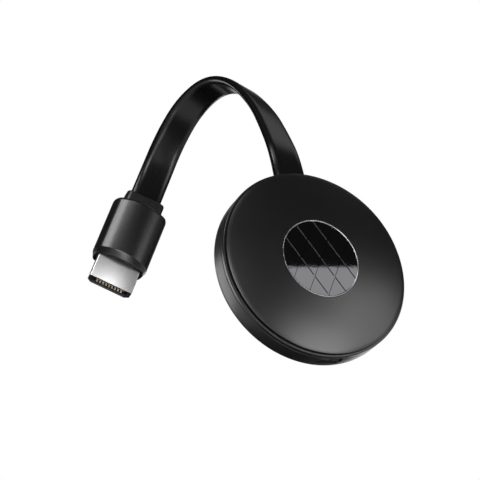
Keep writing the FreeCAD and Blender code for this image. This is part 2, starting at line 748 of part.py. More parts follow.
def ribbon_cable():
    """Flat cable along the route, turning evenly to meet the plug's own slant."""
    stations = route_stations(route_points())
    lengths = [0.0]
    for (here, _, _), (there, _, _) in zip(stations, stations[1:]):
        lengths.append(lengths[-1] + here.distanceToPoint(there))
    _, last_way, last_outward = stations[-1]
    wanted = plug_axes()[1] * -1
    twist = math.degrees(last_outward.getAngle(wanted))
    if last_outward.cross(wanted).dot(last_way) < 0:
        twist = -twist
    sections = []
    for (place, way, outward), along in zip(stations, lengths):
        outward = Rotation(way, twist * along / lengths[-1]).multVec(outward)
        sections.append(cable_section(place, way.cross(outward), outward))
    solid = Part.makeLoft(sections, True, True)
    area = Part.Face(sections[0]).Area
    print("cable length %.1f, twist %.1f degrees" % (lengths[-1], twist))
    print("cable volume %.1f, section times length %.1f" % (solid.Volume, area * lengths[-1]))
    return solid


# Display plug
def steel_outline(inset):
    """Plug shell's section: wide flat top, and both lower corners bevelled."""
    half_w = SHELL_WIDTH / 2 - inset
    half_h = SHELL_HEIGHT / 2 - inset
    cut = SHELL_BEVEL - inset * (2 - math.sqrt(2))
    corners = [Vector(-half_w, half_h, 0), Vector(-half_w, -half_h + cut, 0),
               Vector(-half_w + cut, -half_h, 0), Vector(half_w - cut, -half_h, 0),
               Vector(half_w, -half_h + cut, 0), Vector(half_w, half_h, 0)]
    return Part.Face(Part.makePolygon(corners + corners[:1]))


def steel_bar(inset, front, length):
    """Bar of the steel shell's section, running back from the front."""
    bar = steel_outline(inset).extrude(Vector(0, 0, -length))
    bar.translate(Z_AXIS * front)
    return bar


def plug_shell():
    """Folded steel shell with two latch windows underneath."""
    shell = steel_bar(0, 0, -SHELL_BACK)
    shell = shell.makeFillet(SHELL_CORNER, upright_edges(shell))
    shell = shell.cut(steel_bar(SHELL_WALL_STEEL, LOOSE, -SHELL_BACK + 2 * LOOSE))
    windows = []
    for side in (-1, 1):
        x = side * LATCH_SPREAD / 2
        windows.append(box(x - LATCH_WINDOW[0] / 2, x + LATCH_WINDOW[0] / 2,
                           -SHELL_HEIGHT, -SHELL_HEIGHT / 2 + SHELL_WALL_STEEL + FIT,
                           -LATCH_BACK - LATCH_WINDOW[1], -LATCH_BACK))
    return shell.cut(windows)


def contact_rows():
    """Height side and across-places of both contact rows."""
    rows = []
    for side, count in ((1, UPPER_CONTACTS), (-1, LOWER_CONTACTS)):
        rows += [(side, (k - (count - 1) / 2) * CONTACT_PITCH) for k in range(count)]
    return rows


def contact_bar(side, x, margin, front, back):
    """One straight contact, or the groove around it."""
    half = CONTACT_WIDTH / 2 + margin
    low, high = sorted((side * CONTACT_Y, side * (CONTACT_Y + CONTACT_THICK + margin)))
    return box(x - half, x + half, low, high, back, front)


def plug_insulator():
    """Black insulator with the mating slot and a groove for each contact."""
    front = -INSULATOR_SINK
    body = steel_bar(SHELL_WALL_STEEL + LOOSE, front, INSULATOR_LENGTH)
    half = MATE_SLOT_WIDTH / 2
    slot = box(-half, half, -MATE_SLOT_HALF, MATE_SLOT_HALF, front - MATE_SLOT_DEPTH,
               front + CUT_PAST)
    grooves = [contact_bar(side, x, FIT, front + CUT_PAST, front - INSULATOR_LENGTH - CUT_PAST)
               for side, x in contact_rows()]
    return body.cut([slot] + grooves)


def plug_contacts():
    """Gold strips in two staggered rows, with tails lying on the plug's board."""
    front = -INSULATOR_SINK - CONTACT_SINK
    back = -INSULATOR_SINK - INSULATOR_LENGTH - LOOSE - TAIL_LENGTH
    return [contact_bar(side, x, 0, front, back) for side, x in contact_rows()]


def board_front():
    """Where the plug's board starts, just behind the insulator."""
    return -INSULATOR_SINK - INSULATOR_LENGTH - LOOSE


def plug_board():
    """Board between the contact tails and the cable's wires."""
    half = CAVITY_WIDTH / 2 - LOOSE - FRAME_WALL
    back = board_front() - PLUG_BOARD_LENGTH
    step = SHELL_BACK - LOOSE
    narrow = SHELL_WIDTH / 2 - SHELL_WALL_STEEL - 3 * LOOSE - PLUG_BOARD_INSET
    wide = box(-half, half, -CONTACT_Y, CONTACT_Y, back, step)
    nose = box(-narrow, narrow, -CONTACT_Y, CONTACT_Y, step, board_front())
    return joined([wide, nose])


def plug_frame():
    """Inner sleeve around the board, which the outer mould is made over."""
    start = SHELL_BACK - LOOSE
    length = start - STEM_BACK
    width = CAVITY_WIDTH - 2 * LOOSE
    height = CAVITY_HEIGHT - 2 * LOOSE
    outer = round_bar(width, height, CAVITY_CORNER, STEM_BACK, length)
    bore = round_bar(width - 2 * FRAME_WALL, height - 2 * FRAME_WALL, CAVITY_CORNER / 2,
                     STEM_BACK - CUT_PAST, length + 2 * CUT_PAST)
    return outer.cut(bore)


def plug_wires():
    """Conductors from the collar's stem to the plug's board, in two rows."""
    front = board_front() - PLUG_BOARD_LENGTH + WIRE_LAP
    wires = []
    for side, count in ((1, UPPER_CONTACTS), (-1, LOWER_CONTACTS)):
        for k in range(count):
            x = (k - (count - 1) / 2) * PLUG_WIRE_PITCH
            wires.append(Part.makeCylinder(WIRE_R, front - STEM_BACK,
                                           Vector(x, side * (CONTACT_Y + WIRE_R), STEM_BACK), Z_AXIS))
    return wires


def pillow_wire(x, y, crown, side):
    """Crowned outline with rounded corners, drawn at height zero."""
    corners = [Vector(-x, y, 0), Vector(x, y, 0), Vector(x, -y, 0), Vector(-x, -y, 0)]
    middles = [Vector(0, crown, 0), Vector(side, 0, 0), Vector(0, -crown, 0), Vector(-side, 0, 0)]
    edges = [Part.Arc(corners[k], middles[k], corners[(k + 1) % 4]).toShape() for k in range(4)]
    bar = Part.Face(Part.Wire(edges)).extrude(Z_AXIS * MOULD_EDGE)
    bar = bar.makeFillet(MOULD_EDGE, upright_edges(bar))
    return [f for f in bar.Faces if f.BoundBox.ZMax < MOULD_EDGE / 2][0].OuterWire


def wire_at(wire, height):
    """Copy of an outline moved to a height."""
    wire = wire.copy()
    wire.translate(Z_AXIS * height)
    return wire


def grip_outline():
    """Outline of the plug's grip behind its bevel."""
    return pillow_wire(MOULD_SHOULDER_X, MOULD_SHOULDER_Y, MOULD_CROWN, MOULD_HALF_WIDTH)


def front_outline(inset):
    """Outline of the bevel's front edge, or of the mouth inside it."""
    return pillow_wire(BEVEL_SHOULDER_X - inset, BEVEL_SHOULDER_Y - inset,
                       BEVEL_CROWN - inset, BEVEL_HALF_WIDTH - inset)


def bar_between(wire, front, back):
    """Bar of an outline's section between two heights."""
    return Part.Face(wire_at(wire, back)).extrude(Z_AXIS * (front - back))


def plug_mould():
    """Crowned grip: bevelled front, rounded back, hollow for what it holds."""
    bevel_back = MOULD_FRONT - BEVEL_LENGTH
    grip = bar_between(grip_outline(), bevel_back, MOULD_BACK)
    grip = grip.makeFillet(MOULD_REAR_ROUND, edges_at(grip, MOULD_BACK))
    bevel = Part.makeLoft([wire_at(grip_outline(), bevel_back),
                           wire_at(front_outline(0), MOULD_FRONT)], True, True)
    mould = grip.fuse(bevel)
    nose_back = MOULD_FRONT - NOSE_SINK - NOSE_THICK
    nose_pocket = bar_between(front_outline(NOSE_INSET), MOULD_FRONT + CUT_PAST, nose_back)
    cavity_back = MOULD_BACK + REAR_WALL
    cavity = round_bar(CAVITY_WIDTH, CAVITY_HEIGHT, CAVITY_CORNER, cavity_back,
                       nose_back + LOOSE - cavity_back)
    stem_way = round_bar(STEM_WIDTH + 2 * FIT, STEM_HEIGHT + 2 * FIT, CAVITY_CORNER,
                         MOULD_BACK - CUT_PAST, REAR_WALL + 2 * CUT_PAST)
    return mould.cut([nose_pocket, cavity, stem_way])


def plug_nose():
    """Matt black insert around the steel shell, sunk into the grip's front."""
    front = MOULD_FRONT - NOSE_SINK
    nose = bar_between(front_outline(NOSE_INSET + FIT), front, front - NOSE_THICK)
    way = steel_bar(-LOOSE, front + CUT_PAST, NOSE_THICK + 2 * CUT_PAST)
    return nose.cut(way)


def plug_collar():
    """Strain relief behind the grip, with a stem through the grip's back wall."""
    block_back = MOULD_BACK - COLLAR_LENGTH
    collar = round_bar(COLLAR_WIDTH, COLLAR_HEIGHT, COLLAR_CORNER, block_back, COLLAR_LENGTH)
    collar = collar.makeFillet(COLLAR_EDGE, edges_at(collar, block_back))
    stem = round_bar(STEM_WIDTH, STEM_HEIGHT, CAVITY_CORNER, MOULD_BACK - LOOSE,
                     STEM_BACK - MOULD_BACK + LOOSE)
    return joined([collar, stem])


PUCK_NODES = {
    "lower_shell": lambda: [lower_shell()],
    "trim_ring": lambda: [trim_ring()],
    "top_cover": lambda: [top_cover()],
    "emblem_plate": lambda: [emblem_plate()],
    "emblem_bezel": lambda: [emblem_bezel()],
    "main_board": lambda: [main_board()],
    "board_screws": board_screws,
    "processor": lambda: [block(PROCESSOR, PROCESSOR_AT, BOARD_TOP)],
    "thermal_pad": lambda: [block((PAD_SIZE, PAD_SIZE, PAD_THICK), PROCESSOR_AT,
                                  BOARD_TOP + PROCESSOR[2])],
    "heat_spreader": lambda: [heat_spreader()],
    "memory_chip": lambda: [block(MEMORY, MEMORY_AT, BOARD_TOP)],
    "flash_chip": lambda: [block(FLASH, FLASH_AT, BOARD_TOP)],
    "radio_board": lambda: [block(RADIO_BOARD, RADIO_AT, BOARD_TOP)],
    "radio_can": lambda: [radio_can()],
    "antenna_strip": lambda: [antenna_strip()],
    "crystal": lambda: [block(CRYSTAL, CRYSTAL_AT, BOARD_TOP)],
    "regulator": lambda: [block(REGULATOR, REGULATOR_AT, BOARD_TOP)],
    "inductors": inductors,
    "capacitors": capacitors,
    "socket_shell": lambda: [socket_shell()],
    "socket_blade": lambda: [socket_blade()],
    "socket_pins": socket_pins,
    "reset_button": lambda: [reset_button()],
    "switch_body": lambda: [switch_body()],
    "switch_plunger": lambda: [switch_plunger()],
    "status_lamp": lambda: [spun(block(LAMP, (LAMP_CIRCLE, 0), BOARD_TOP), LAMP_ANGLE)],
    "light_pipe": lambda: [light_pipe()],
    "cable_gland": lambda: [cable_gland()],
    "puck_wires": puck_wires,
}

PLUG_NODES = {
    "plug_shell": lambda: [plug_shell()],
    "plug_insulator": lambda: [plug_insulator()],
    "plug_contacts": plug_contacts,
    "plug_board": lambda: [plug_board()],
    "plug_frame": lambda: [plug_frame()],
    "plug_wires": plug_wires,
    "plug_nose": lambda: [plug_nose()],
    "plug_mould": lambda: [plug_mould()],
    "plug_collar": lambda: [plug_collar()],
}

for node, make in PUCK_NODES.items():
    save(node, [in_puck(s) for s in make()])
for node, make in PLUG_NODES.items():
    save(node, [in_plug(s) for s in make()])
save("ribbon_cable", [ribbon_cable()])
for corner in route_points():
    print("route point %.2f, %.2f, %.2f" % (corner.x, corner.y, corner.z))
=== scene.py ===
"""Looks of a wireless display dongle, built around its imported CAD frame.

The puck's casing, the grip, the steel mouth and the flat cable are modelled here as smooth
pieces that stand for their CAD nodes. The board, chips and contacts are the CAD nodes
themselves, with better materials.
"""

import json
import math

import bmesh
import bpy
from mathutils import Matrix, Vector


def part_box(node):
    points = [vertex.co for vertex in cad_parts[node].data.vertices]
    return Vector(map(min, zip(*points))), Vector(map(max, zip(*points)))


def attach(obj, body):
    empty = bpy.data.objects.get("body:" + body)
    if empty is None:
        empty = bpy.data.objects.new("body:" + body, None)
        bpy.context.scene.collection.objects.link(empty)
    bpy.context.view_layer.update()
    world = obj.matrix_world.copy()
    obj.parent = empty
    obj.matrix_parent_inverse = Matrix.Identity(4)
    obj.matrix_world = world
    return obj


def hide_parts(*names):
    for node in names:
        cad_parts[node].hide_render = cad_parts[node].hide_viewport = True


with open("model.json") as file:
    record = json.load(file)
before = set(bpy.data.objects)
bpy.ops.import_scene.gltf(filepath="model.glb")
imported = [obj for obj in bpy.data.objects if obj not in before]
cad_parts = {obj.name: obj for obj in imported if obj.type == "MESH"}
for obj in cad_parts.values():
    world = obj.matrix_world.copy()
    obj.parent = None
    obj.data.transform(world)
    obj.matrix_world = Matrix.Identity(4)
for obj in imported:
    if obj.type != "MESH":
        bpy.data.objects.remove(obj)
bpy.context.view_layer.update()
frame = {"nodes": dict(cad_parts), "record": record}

bl_info = {
    "name": "Display dongle",
    "version": (1, 0, 0),
    "blender": (4, 5, 0),
    "location": "View3D > Sidebar > Dongle",
    "description": "Round display puck with a flat cable and a plug, around a fixed frame",
    "category": "Object",
}

MM = 0.001
SAME_PLACE = MM / 1000
FULL_TURN = 2 * math.pi
QUARTER_TURN = math.pi / 2
MOUNTS = {mount["name"]: mount for mount in frame["record"]["mounts"]}

# Where the puck and the plug lie, and the cable's route between them, in metres
PUCK_BACK = Vector(MOUNTS["back_face"]["pos_m"])
PLUG_MOUNT = MOUNTS[frame["record"]["physics"]["held_by_mount"]]
PLUG_POINTS = Vector(PLUG_MOUNT["axis"]).normalized()
PLUG_ACROSS = Vector((0.873, -0.078, -0.482))
ROUTE = [
    Vector((0.03480, -0.05800, 0.00890)),
    Vector((0.03480, -0.05800, 0.01610)),
    Vector((0.03670, -0.05200, 0.02760)),
    Vector((0.03770, -0.04580, 0.03960)),
    Vector((0.03610, -0.03780, 0.05140)),
    Vector((0.03320, -0.02830, 0.05720)),
    Vector((0.02930, -0.01670, 0.05540)),
    Vector((0.02500, -0.00800, 0.04770)),
    Vector((0.02004, -0.00286, 0.03680)),
    Vector((0.01565, -0.00223, 0.02874)),
]

# Casing sizes in millimetres: radii, and heights above the puck's back
PUCK_R = (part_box("trim_ring")[1].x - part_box("trim_ring")[0].x) / MM / 2
RIM_Z = 7.2
BAND_WALL = 1.8
BAND_DRAFT = 0.15
BACK_WALL = 1.5
BACK_CORNER = 3.0
FLAT_INSET = 4.0
SEAM_ROUND = 0.22
FIT = 0.1
HALF_FIT = 0.05
CAVITY_R = PUCK_R - BAND_WALL
CAVITY_CORNER = 2.2
TONGUE_R = CAVITY_R + 0.7
TONGUE_TOP = 7.9
TONGUE_ROOT = 0.08
TONGUE_ROUND = 0.1
RING_IN_R = TONGUE_R + FIT
RING_TOP = 8.6
RING_FOOT_ROUND = 0.05
LEDGE_ROUND = 0.35
LEDGE_INNER_ROUND = 0.12
SPIN_STEPS = 160
CAP_SPIN_STEPS = 48
PIPE_SPIN_STEPS = 40

# Screw bosses inside the shell, sunk a little into its back wall
BOSS_ANGLES = (50.0, 195.0, 300.0)
BOSS_CIRCLE = 18.0
BOSS_R = 2.2
BOSS_HOLE_R = 0.9
BOSS_FOOT = BACK_WALL - 0.1
BOSS_TOP = 3.2
BOSS_STEPS = 24

# Cover, with its overhanging edge as steps inwards from its radius and down from its height
COVER_BODY_R = RING_IN_R - 0.6
COVER_EDGE_R = COVER_BODY_R + 0.9
COVER_EDGE_Z = 9.35
COVER_EDGE_LIP = ((0.04, 0.01), (0, 0.06), (0, 0.12), (0.04, 0.2))
COVER_LIP_START = 0.12
COVER_EDGE_DEPTH = 1.02
COVER_WALL = 1.4
COVER_RINGS = 14
DOME_TOP = 12.7
SKIRT_R = CAVITY_R - FIT
SKIRT_WALL = 1.3
SKIRT_FOOT = 6.9
UNDERSIDE_RADII = (22.0, 18.0)

# Emblem plate's pocket in the cover, and the bezel
EMBLEM_R = (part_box("emblem_plate")[1].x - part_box("emblem_plate")[0].x) / MM / 2
BEZEL_R = EMBLEM_R + 0.4
BEZEL_DEPTH = 0.9
BEZEL_INNER_R = EMBLEM_R + 0.2
BEZEL_ROUND = 0.1
POCKET_DEPTH = 0.85
POCKET_WALL = 1.3
POCKET_EDGE = 0.08

# What comes out through the band: angle round the puck, and height. The gland has its
# width, height and corner, how far it reaches in and out, and its rounded edge.
CABLE_ANGLE = 90.0
CABLE_Z = 4.0
SOCKET_ANGLE = -90.0
SOCKET_Z = 5.45
BUTTON_ANGLE = -22.0
BUTTON_Z = 5.0
LAMP_ANGLE = -36.0
GLAND_SIZE = (11.4, 4.2, 1.2)
GLAND_INSIDE = 4.35
GLAND_PROUD = 0.7
GLAND_EDGE = 0.3

# Ways through the band, each with its width, height and corner, and where it is
BAND_WAYS = (
    ("gland_way", (GLAND_SIZE[0] + FIT, GLAND_SIZE[1] + FIT, GLAND_SIZE[2]),
     CABLE_ANGLE, CABLE_Z),
    ("socket_way", (7.9, 2.9, 0.8), SOCKET_ANGLE, SOCKET_Z),
    ("button_way", (2.64, 2.64, 1.3), BUTTON_ANGLE, BUTTON_Z),
    ("pipe_way", (1.6, 1.6, 0.79), LAMP_ANGLE, BUTTON_Z),
)
WAY_INSIDE = 4.5
WAY_LENGTH = 8.0

# Button cap from stem to dished top, and light pipe from foot to frosted end: radius, and
# height above the band
CAP_OUTLINE = (
    (0, -3.78), (0.65, -3.78), (0.65, -2.78), (1.7, -2.78), (1.7, -1.98), (1.2, -1.98),
    (1.2, -0.05), (1.13, 0.12), (0.95, 0.2), (0.6, 0.16), (0, 0.12))
PIPE_OUTLINE = (
    (0, -4.45), (0.7, -4.45), (0.75, -4.4), (0.75, -0.3), (0.68, -0.2), (0.4, -0.14), (0, -0.12))

# Cable: the share of its thickness that each rounded edge takes, how its route is read off
# the spline, and the millimetres that one unit of its UV map spans
EDGE_SHARE = 0.46
SPLINE_ORDER = 3
SPLINE_STEPS = 14
UV_MM = 10

# Plug sizes in millimetres, measured back from its mouth. A section of the grip is the x and
# y of its shoulders, the top of its crown and the middle of its side. The latch windows and
# the collar have their width, height and corner.
MOUTH_SHOWS = 7.9
MOUTH_LENGTH = 13.5
MOUTH_WALL = 0.3
MOUTH_CORNER = 0.4
MOUTH_BEVEL = 1.3
WINDOW_SIZE = (2.2, 1.6, 0.15)
WINDOW_SPREAD = 3.5
WINDOW_BACK = 4.0
WINDOW_START = 1.6
WINDOW_DEPTH = 1.4
GRIP_LENGTH = 20.9
GRIP_SECTION = (7.7, 3.5, 5.9, 8.85)
GRIP_CORNER = 0.7
GRIP_REAR_ROUND = 1.1
GRIP_REAR_LOOPS = (1.3, 4.0, 9.0)
GRIP_FRONT_LOOPS = (4.0, 0.4)
BEVEL_LENGTH = 1.7
BEVEL_SECTION = (7.6, 2.85, 4.85, 8.15)
BEVEL_EDGE = 0.14
RECESS_LIP = 0.12
RECESS_DEPTH = 2.6
RECESS_EDGE = 0.05
BOW_STEPS = 14
CORNER_STEPS = 6
COLLAR_SIZE = (12.5, 6.4, 1.6)
COLLAR_LENGTH = 4.0
COLLAR_EDGE = 0.6


# Working by hand, in code
def clear_selection():
    """Object mode, with nothing selected."""
    if bpy.context.object and bpy.context.object.mode != "OBJECT":
        bpy.ops.object.mode_set(mode="OBJECT")
    bpy.ops.object.select_all(action="DESELECT")


def start_piece(name):
    """New mesh piece in edit mode, holding nothing yet."""
    clear_selection()
    bpy.ops.mesh.primitive_plane_add(size=MM, location=(0, 0, 0))
    piece = bpy.context.active_object
    piece.name = name
    piece.data.name = name
    bpy.ops.object.mode_set(mode="EDIT")
    bpy.ops.mesh.select_all(action="SELECT")
    bpy.ops.mesh.delete(type="VERT")
    return piece


def trace(points):
    """In edit mode, draws a line by extruding one vertex from point to point."""
    bpy.ops.mesh.select_mode(type="VERT")
    bpy.ops.mesh.select_all(action="DESELECT")
    bpy.ops.mesh.primitive_plane_add(size=MM, location=(0, 0, 0))
    bpy.ops.mesh.merge(type="CENTER")
    bpy.ops.transform.translate(value=points[0])
    for here, there in zip(points, points[1:]):
        bpy.ops.mesh.extrude_vertices_move(TRANSFORM_OT_translate={"value": there - here})


def select_where(test, kind="FACE"):
    """In edit mode, selects exactly the faces, edges or vertices that pass a test."""
    bpy.ops.mesh.select_mode(type=kind)
    bpy.ops.mesh.select_all(action="DESELECT")
    data = bpy.context.active_object.data
    mesh = bmesh.from_edit_mesh(data)
    for item in {"VERT": mesh.verts, "EDGE": mesh.edges, "FACE": mesh.faces}[kind]:
        if test(item):
            item.select_set(True)
    mesh.select_flush_mode()
    bmesh.update_edit_mesh(data)


def level_edges(height):
    """Test for edges that lie at one height."""
    return lambda edge: all(abs(v.co.z - height) < SAME_PLACE for v in edge.verts)


def level_faces(height):
    """Test for faces that lie at one height."""
    return lambda face: all(abs(v.co.z - height) < SAME_PLACE for v in face.verts)


def merged():
    """In edit mode, closes seams and points every face outwards."""
    bpy.ops.mesh.select_mode(type="VERT")
    bpy.ops.mesh.select_all(action="SELECT")
    bpy.ops.mesh.remove_doubles(threshold=SAME_PLACE)
    bpy.ops.mesh.normals_make_consistent(inside=False)


def finish_piece(piece, place, smooth_angle=35.0, body="root"):
    """Leaves edit mode, shades the piece, puts its place into its mesh and lets it ride."""
    clear_selection()
    bpy.context.view_layer.objects.active = piece
    piece.select_set(True)
    bpy.ops.object.shade_smooth_by_angle(angle=math.radians(smooth_angle))
    piece.matrix_world = place
    bpy.ops.object.transform_apply(location=True, rotation=True, scale=True)
    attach(piece, body)
    return piece


def cut_with(piece, cutter, operation="DIFFERENCE"):
    """Cuts one piece with another, or joins them, and removes the second."""
    clear_selection()
    bpy.context.view_layer.objects.active = piece
    piece.select_set(True)
    bpy.ops.object.modifier_add(type="BOOLEAN")
    change = piece.modifiers[-1]
    change.object = cutter
    change.operation = operation
    change.solver = "EXACT"
    bpy.ops.object.modifier_apply(modifier=change.name)
    bpy.data.objects.remove(cutter)


def softened(corners, degrees_per_step=12.0):
    """Closed outline through (x, y, radius) corners, each rounded by its own radius."""
    points = []
    for k, (x, y, radius) in enumerate(corners):
        here = Vector((x, y))
        if radius == 0:
            points.append(here)
            continue
        to_last = (Vector(corners[k - 1][:2]) - here).normalized()
        to_next = (Vector(corners[(k + 1) % len(corners)][:2]) - here).normalized()
        half = to_last.angle(to_next) / 2
        centre = here + (to_last + to_next).normalized() * (radius / math.sin(half))
        arm = here + to_last * (radius / math.tan(half)) - centre
        turn = math.pi - 2 * half
        if to_last.x * to_next.y - to_last.y * to_next.x > 0:
            turn = -turn
        steps = max(2, math.ceil(abs(turn) / math.radians(degrees_per_step)))
        for step in range(steps + 1):
            points.append(centre + Matrix.Rotation(turn * step / steps, 2) @ arm)
    return points


def arc_points(start, middle, end, steps):
    """Points on the circle through three points, the start left out."""
    a, b, c = (Vector(p) for p in (start, middle, end))
    d = 2 * (a.x * (b.y - c.y) + b.x * (c.y - a.y) + c.x * (a.y - b.y))
    centre = Vector((
        (a.dot(a) * (b.y - c.y) + b.dot(b) * (c.y - a.y) + c.dot(c) * (a.y - b.y)) / d,
        (a.dot(a) * (c.x - b.x) + b.dot(b) * (a.x - c.x) + c.dot(c) * (b.x - a.x)) / d))
    arm = a - centre
    turn = arm.angle_signed(c - centre) * -1
    return [centre + Matrix.Rotation(turn * step / steps, 2) @ arm
            for step in range(1, steps + 1)]


def turned_piece(name, outline, steps=SPIN_STEPS):
    """Piece of revolution about Z, from a closed outline of (radius, height) in millimetres."""
    piece = start_piece(name)
    points = [Vector((p[0], 0, p[1])) * MM for p in outline]
    trace(points + points[:1])
    bpy.ops.mesh.select_all(action="SELECT")
    bpy.ops.mesh.remove_doubles(threshold=SAME_PLACE)
    bpy.ops.mesh.spin(steps=steps, angle=FULL_TURN, center=(0, 0, 0), axis=(0, 0, 1))
    merged()
    bpy.ops.mesh.select_all(action="SELECT")
    bpy.ops.mesh.delete_loose()
    clear_selection()
    return piece


def bar_piece(name, outline, start, length):
    """Bar along Z from a closed outline of (x, y) in millimetres, left in edit mode."""
    piece = start_piece(name)
    points = [Vector((p[0], p[1], start)) * MM for p in outline]
    trace(points + points[:1])
    bpy.ops.mesh.select_all(action="SELECT")
    bpy.ops.mesh.remove_doubles(threshold=SAME_PLACE)
    bpy.ops.mesh.select_all(action="SELECT")
    bpy.ops.mesh.edge_face_add()
    bpy.ops.mesh.extrude_region_move(TRANSFORM_OT_translate={"value": (0, 0, length * MM)})
    merged()
    return piece


def round_rect(width, height, radius):
    """Closed outline of a rectangle with rounded corners."""
    x, y = width / 2, height / 2
    return softened([(x, y, radius), (-x, y, radius), (-x, -y, radius), (x, -y, radius)])


def oval_rect(width, height, across, through, steps=8):
    """Closed outline of a rectangle whose corners are quarter ellipses."""
    outline = []
    for quarter, (x, y) in enumerate(((1, 1), (-1, 1), (-1, -1), (1, -1))):
        for step in range(steps + 1):
            angle = (quarter + step / steps) * QUARTER_TURN
            outline.append(Vector((x * (width / 2 - across) + across * math.cos(angle),
                                   y * (height / 2 - through) + through * math.sin(angle))))
    return outline


def round_the_band(outline):
    """Outline turned so that its width runs round the puck's band."""
    return [(-y, x) for x, y in outline]


def slice_at(*heights):
    """In edit mode, adds a loop around the piece at each height, in millimetres."""
    for height in heights:
        bpy.ops.mesh.select_all(action="SELECT")
        bpy.ops.mesh.bisect(plane_co=(0, 0, height * MM), plane_no=(0, 0, 1))


def round_edges(height, radius, segments=3):
    """In edit mode, rounds the edges that lie at one height, given in millimetres."""
    select_where(level_edges(height * MM), "EDGE")
    bpy.ops.mesh.bevel(offset=radius * MM, segments=segments, affect="EDGES")


def puck_place():
    """The puck is drawn on its back and stands up, face towards -Y."""
    return Matrix.Translation(PUCK_BACK) @ Matrix.Rotation(QUARTER_TURN, 4, "X")


def plug_place():
    """The plug is drawn with its mouth at zero, pointing up +Z."""
    across = (PLUG_ACROSS - PLUG_POINTS * PLUG_ACROSS.dot(PLUG_POINTS)).normalized()
    crown = PLUG_POINTS.cross(across)
    return Matrix((across, crown, PLUG_POINTS)).transposed().to_4x4()


def outward_place(degrees, height):
    """On the puck's band: local Z points out of the band at an angle, at a height."""
    return (puck_place() @ Matrix.Rotation(math.radians(degrees), 4, "Z")
            @ Matrix.Translation((0, 0, height * MM)) @ Matrix.Rotation(QUARTER_TURN, 4, "Y"))


# Materials. A surface's faint clouds are this many of its grains wide.
CLOUD_GRAINS = 22


def linear(code):
    """Linear colour of an sRGB hex code."""
    parts = [int(code[k:k + 2], 16) / 255 for k in (1, 3, 5)]
    return [p / 12.92 if p <= 0.04045 else ((p + 0.055) / 1.055) ** 2.4 for p in parts] + [1.0]


def node(tree, kind, inputs=None, stops=(), **settings):
    """Adds a node with its settings, links and colour stops.

    Each input is a plain value, or the output of another node to link. Each stop is a place
    with a grey value or a colour.
    """
    made = tree.nodes.new(kind)
    for name, value in settings.items():
        setattr(made, name, value)
    for name, value in (inputs or {}).items():
        if isinstance(value, bpy.types.NodeSocket):
            tree.links.new(value, made.inputs[name])
        else:
            made.inputs[name].default_value = value
    if stops:
        while len(made.color_ramp.elements) < len(stops):
            made.color_ramp.elements.new(0.5)
        for element, (place, value) in zip(made.color_ramp.elements, stops):
            element.position = place
            element.color = value if isinstance(value, list) else (value, value, value, 1)
    return made


def new_material(name):
    """Empty node material with its output and shader, and the shader to fill in."""
    material = bpy.data.materials.new(name)
    material.use_nodes = True
    tree = material.node_tree
    tree.nodes.clear()
    shader = node(tree, "ShaderNodeBsdfPrincipled")
    node(tree, "ShaderNodeOutputMaterial", {"Surface": shader.outputs["BSDF"]})
    return material, tree, shader


def coat(tree, shader, color, dark, shade_by, sheen_by, sheen, height, strength, distance):
    """Feeds a shader its colour, roughness and relief from the patterns that drive them."""
    tint = linear(color)
    low = [c * dark for c in tint[:3]] + [1.0]
    shades = node(tree, "ShaderNodeValToRGB", {"Fac": shade_by}, [(0.3, low), (0.7, tint)])
    gloss = node(tree, "ShaderNodeValToRGB", {"Fac": sheen_by}, sheen)
    raised = node(tree, "ShaderNodeBump", {"Height": height, "Strength": strength,
                                           "Distance": distance})
    for output, socket in ((shades.outputs["Color"], "Base Color"),
                           (gloss.outputs["Color"], "Roughness"),
                           (raised.outputs["Normal"], "Normal")):
        tree.links.new(output, shader.inputs[socket])


def surface(name, color, roughness, grain_mm, rough_spread=0.05, bump=0.05, dark=0.85,
            metallic=0.0, stretch=(1, 1, 1), **sockets):
    """Material with fine grain in colour, roughness and height, on Object coordinates."""
    material, tree, shader = new_material(name)
    place = node(tree, "ShaderNodeTexCoord").outputs["Object"]
    place = node(tree, "ShaderNodeMapping", {"Vector": place, "Scale": stretch}).outputs[0]
    grain = node(tree, "ShaderNodeTexNoise", {"Vector": place, "Scale": 1 / (grain_mm * MM),
                                              "Detail": 3.0, "Roughness": 0.6}).outputs["Fac"]
    clouds = node(tree, "ShaderNodeTexNoise", {
        "Vector": place, "Scale": 1 / (grain_mm * MM * CLOUD_GRAINS),
        "Detail": 2.0}).outputs["Fac"]
    coat(tree, shader, color, dark, clouds, grain,
         [(0.25, roughness - rough_spread), (0.75, roughness + rough_spread)],
         grain, bump, grain_mm * MM * 0.5)
    shader.inputs["Metallic"].default_value = metallic
    for socket, value in sockets.items():
        shader.inputs[socket.replace("_", " ")].default_value = value
    return material


def finish_nodes(material, *names):
    """Gives a material to CAD nodes that show as they are."""
    for name in names:
        data = frame["nodes"][name].data
        data.materials.clear()
        data.materials.append(material)


def dress(piece, material, slot, *replaced):
    """Material and replaced CAD nodes of a new piece. The slot is not used."""
    piece.data.materials.clear()
    piece.data.materials.append(material)
    if replaced:
        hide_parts(*replaced)


# What a user would change
class DonglePuckProps(bpy.types.PropertyGroup):
    diameter: bpy.props.FloatProperty(
        name="Puck diameter", description="Across the trim ring",
        default=2 * PUCK_R * MM, min=0.03, unit="LENGTH", subtype="DISTANCE")
    band_color: bpy.props.StringProperty(
        name="Band colour", description="Satin moulded band, sRGB hex", default="#101011")
    cover_color: bpy.props.StringProperty(
        name="Cover colour", description="Polished domed cover, sRGB hex", default="#090909")
    emblem_color: bpy.props.StringProperty(
        name="Emblem colour", description="Mirror plate, sRGB hex", default="#8f8f92")


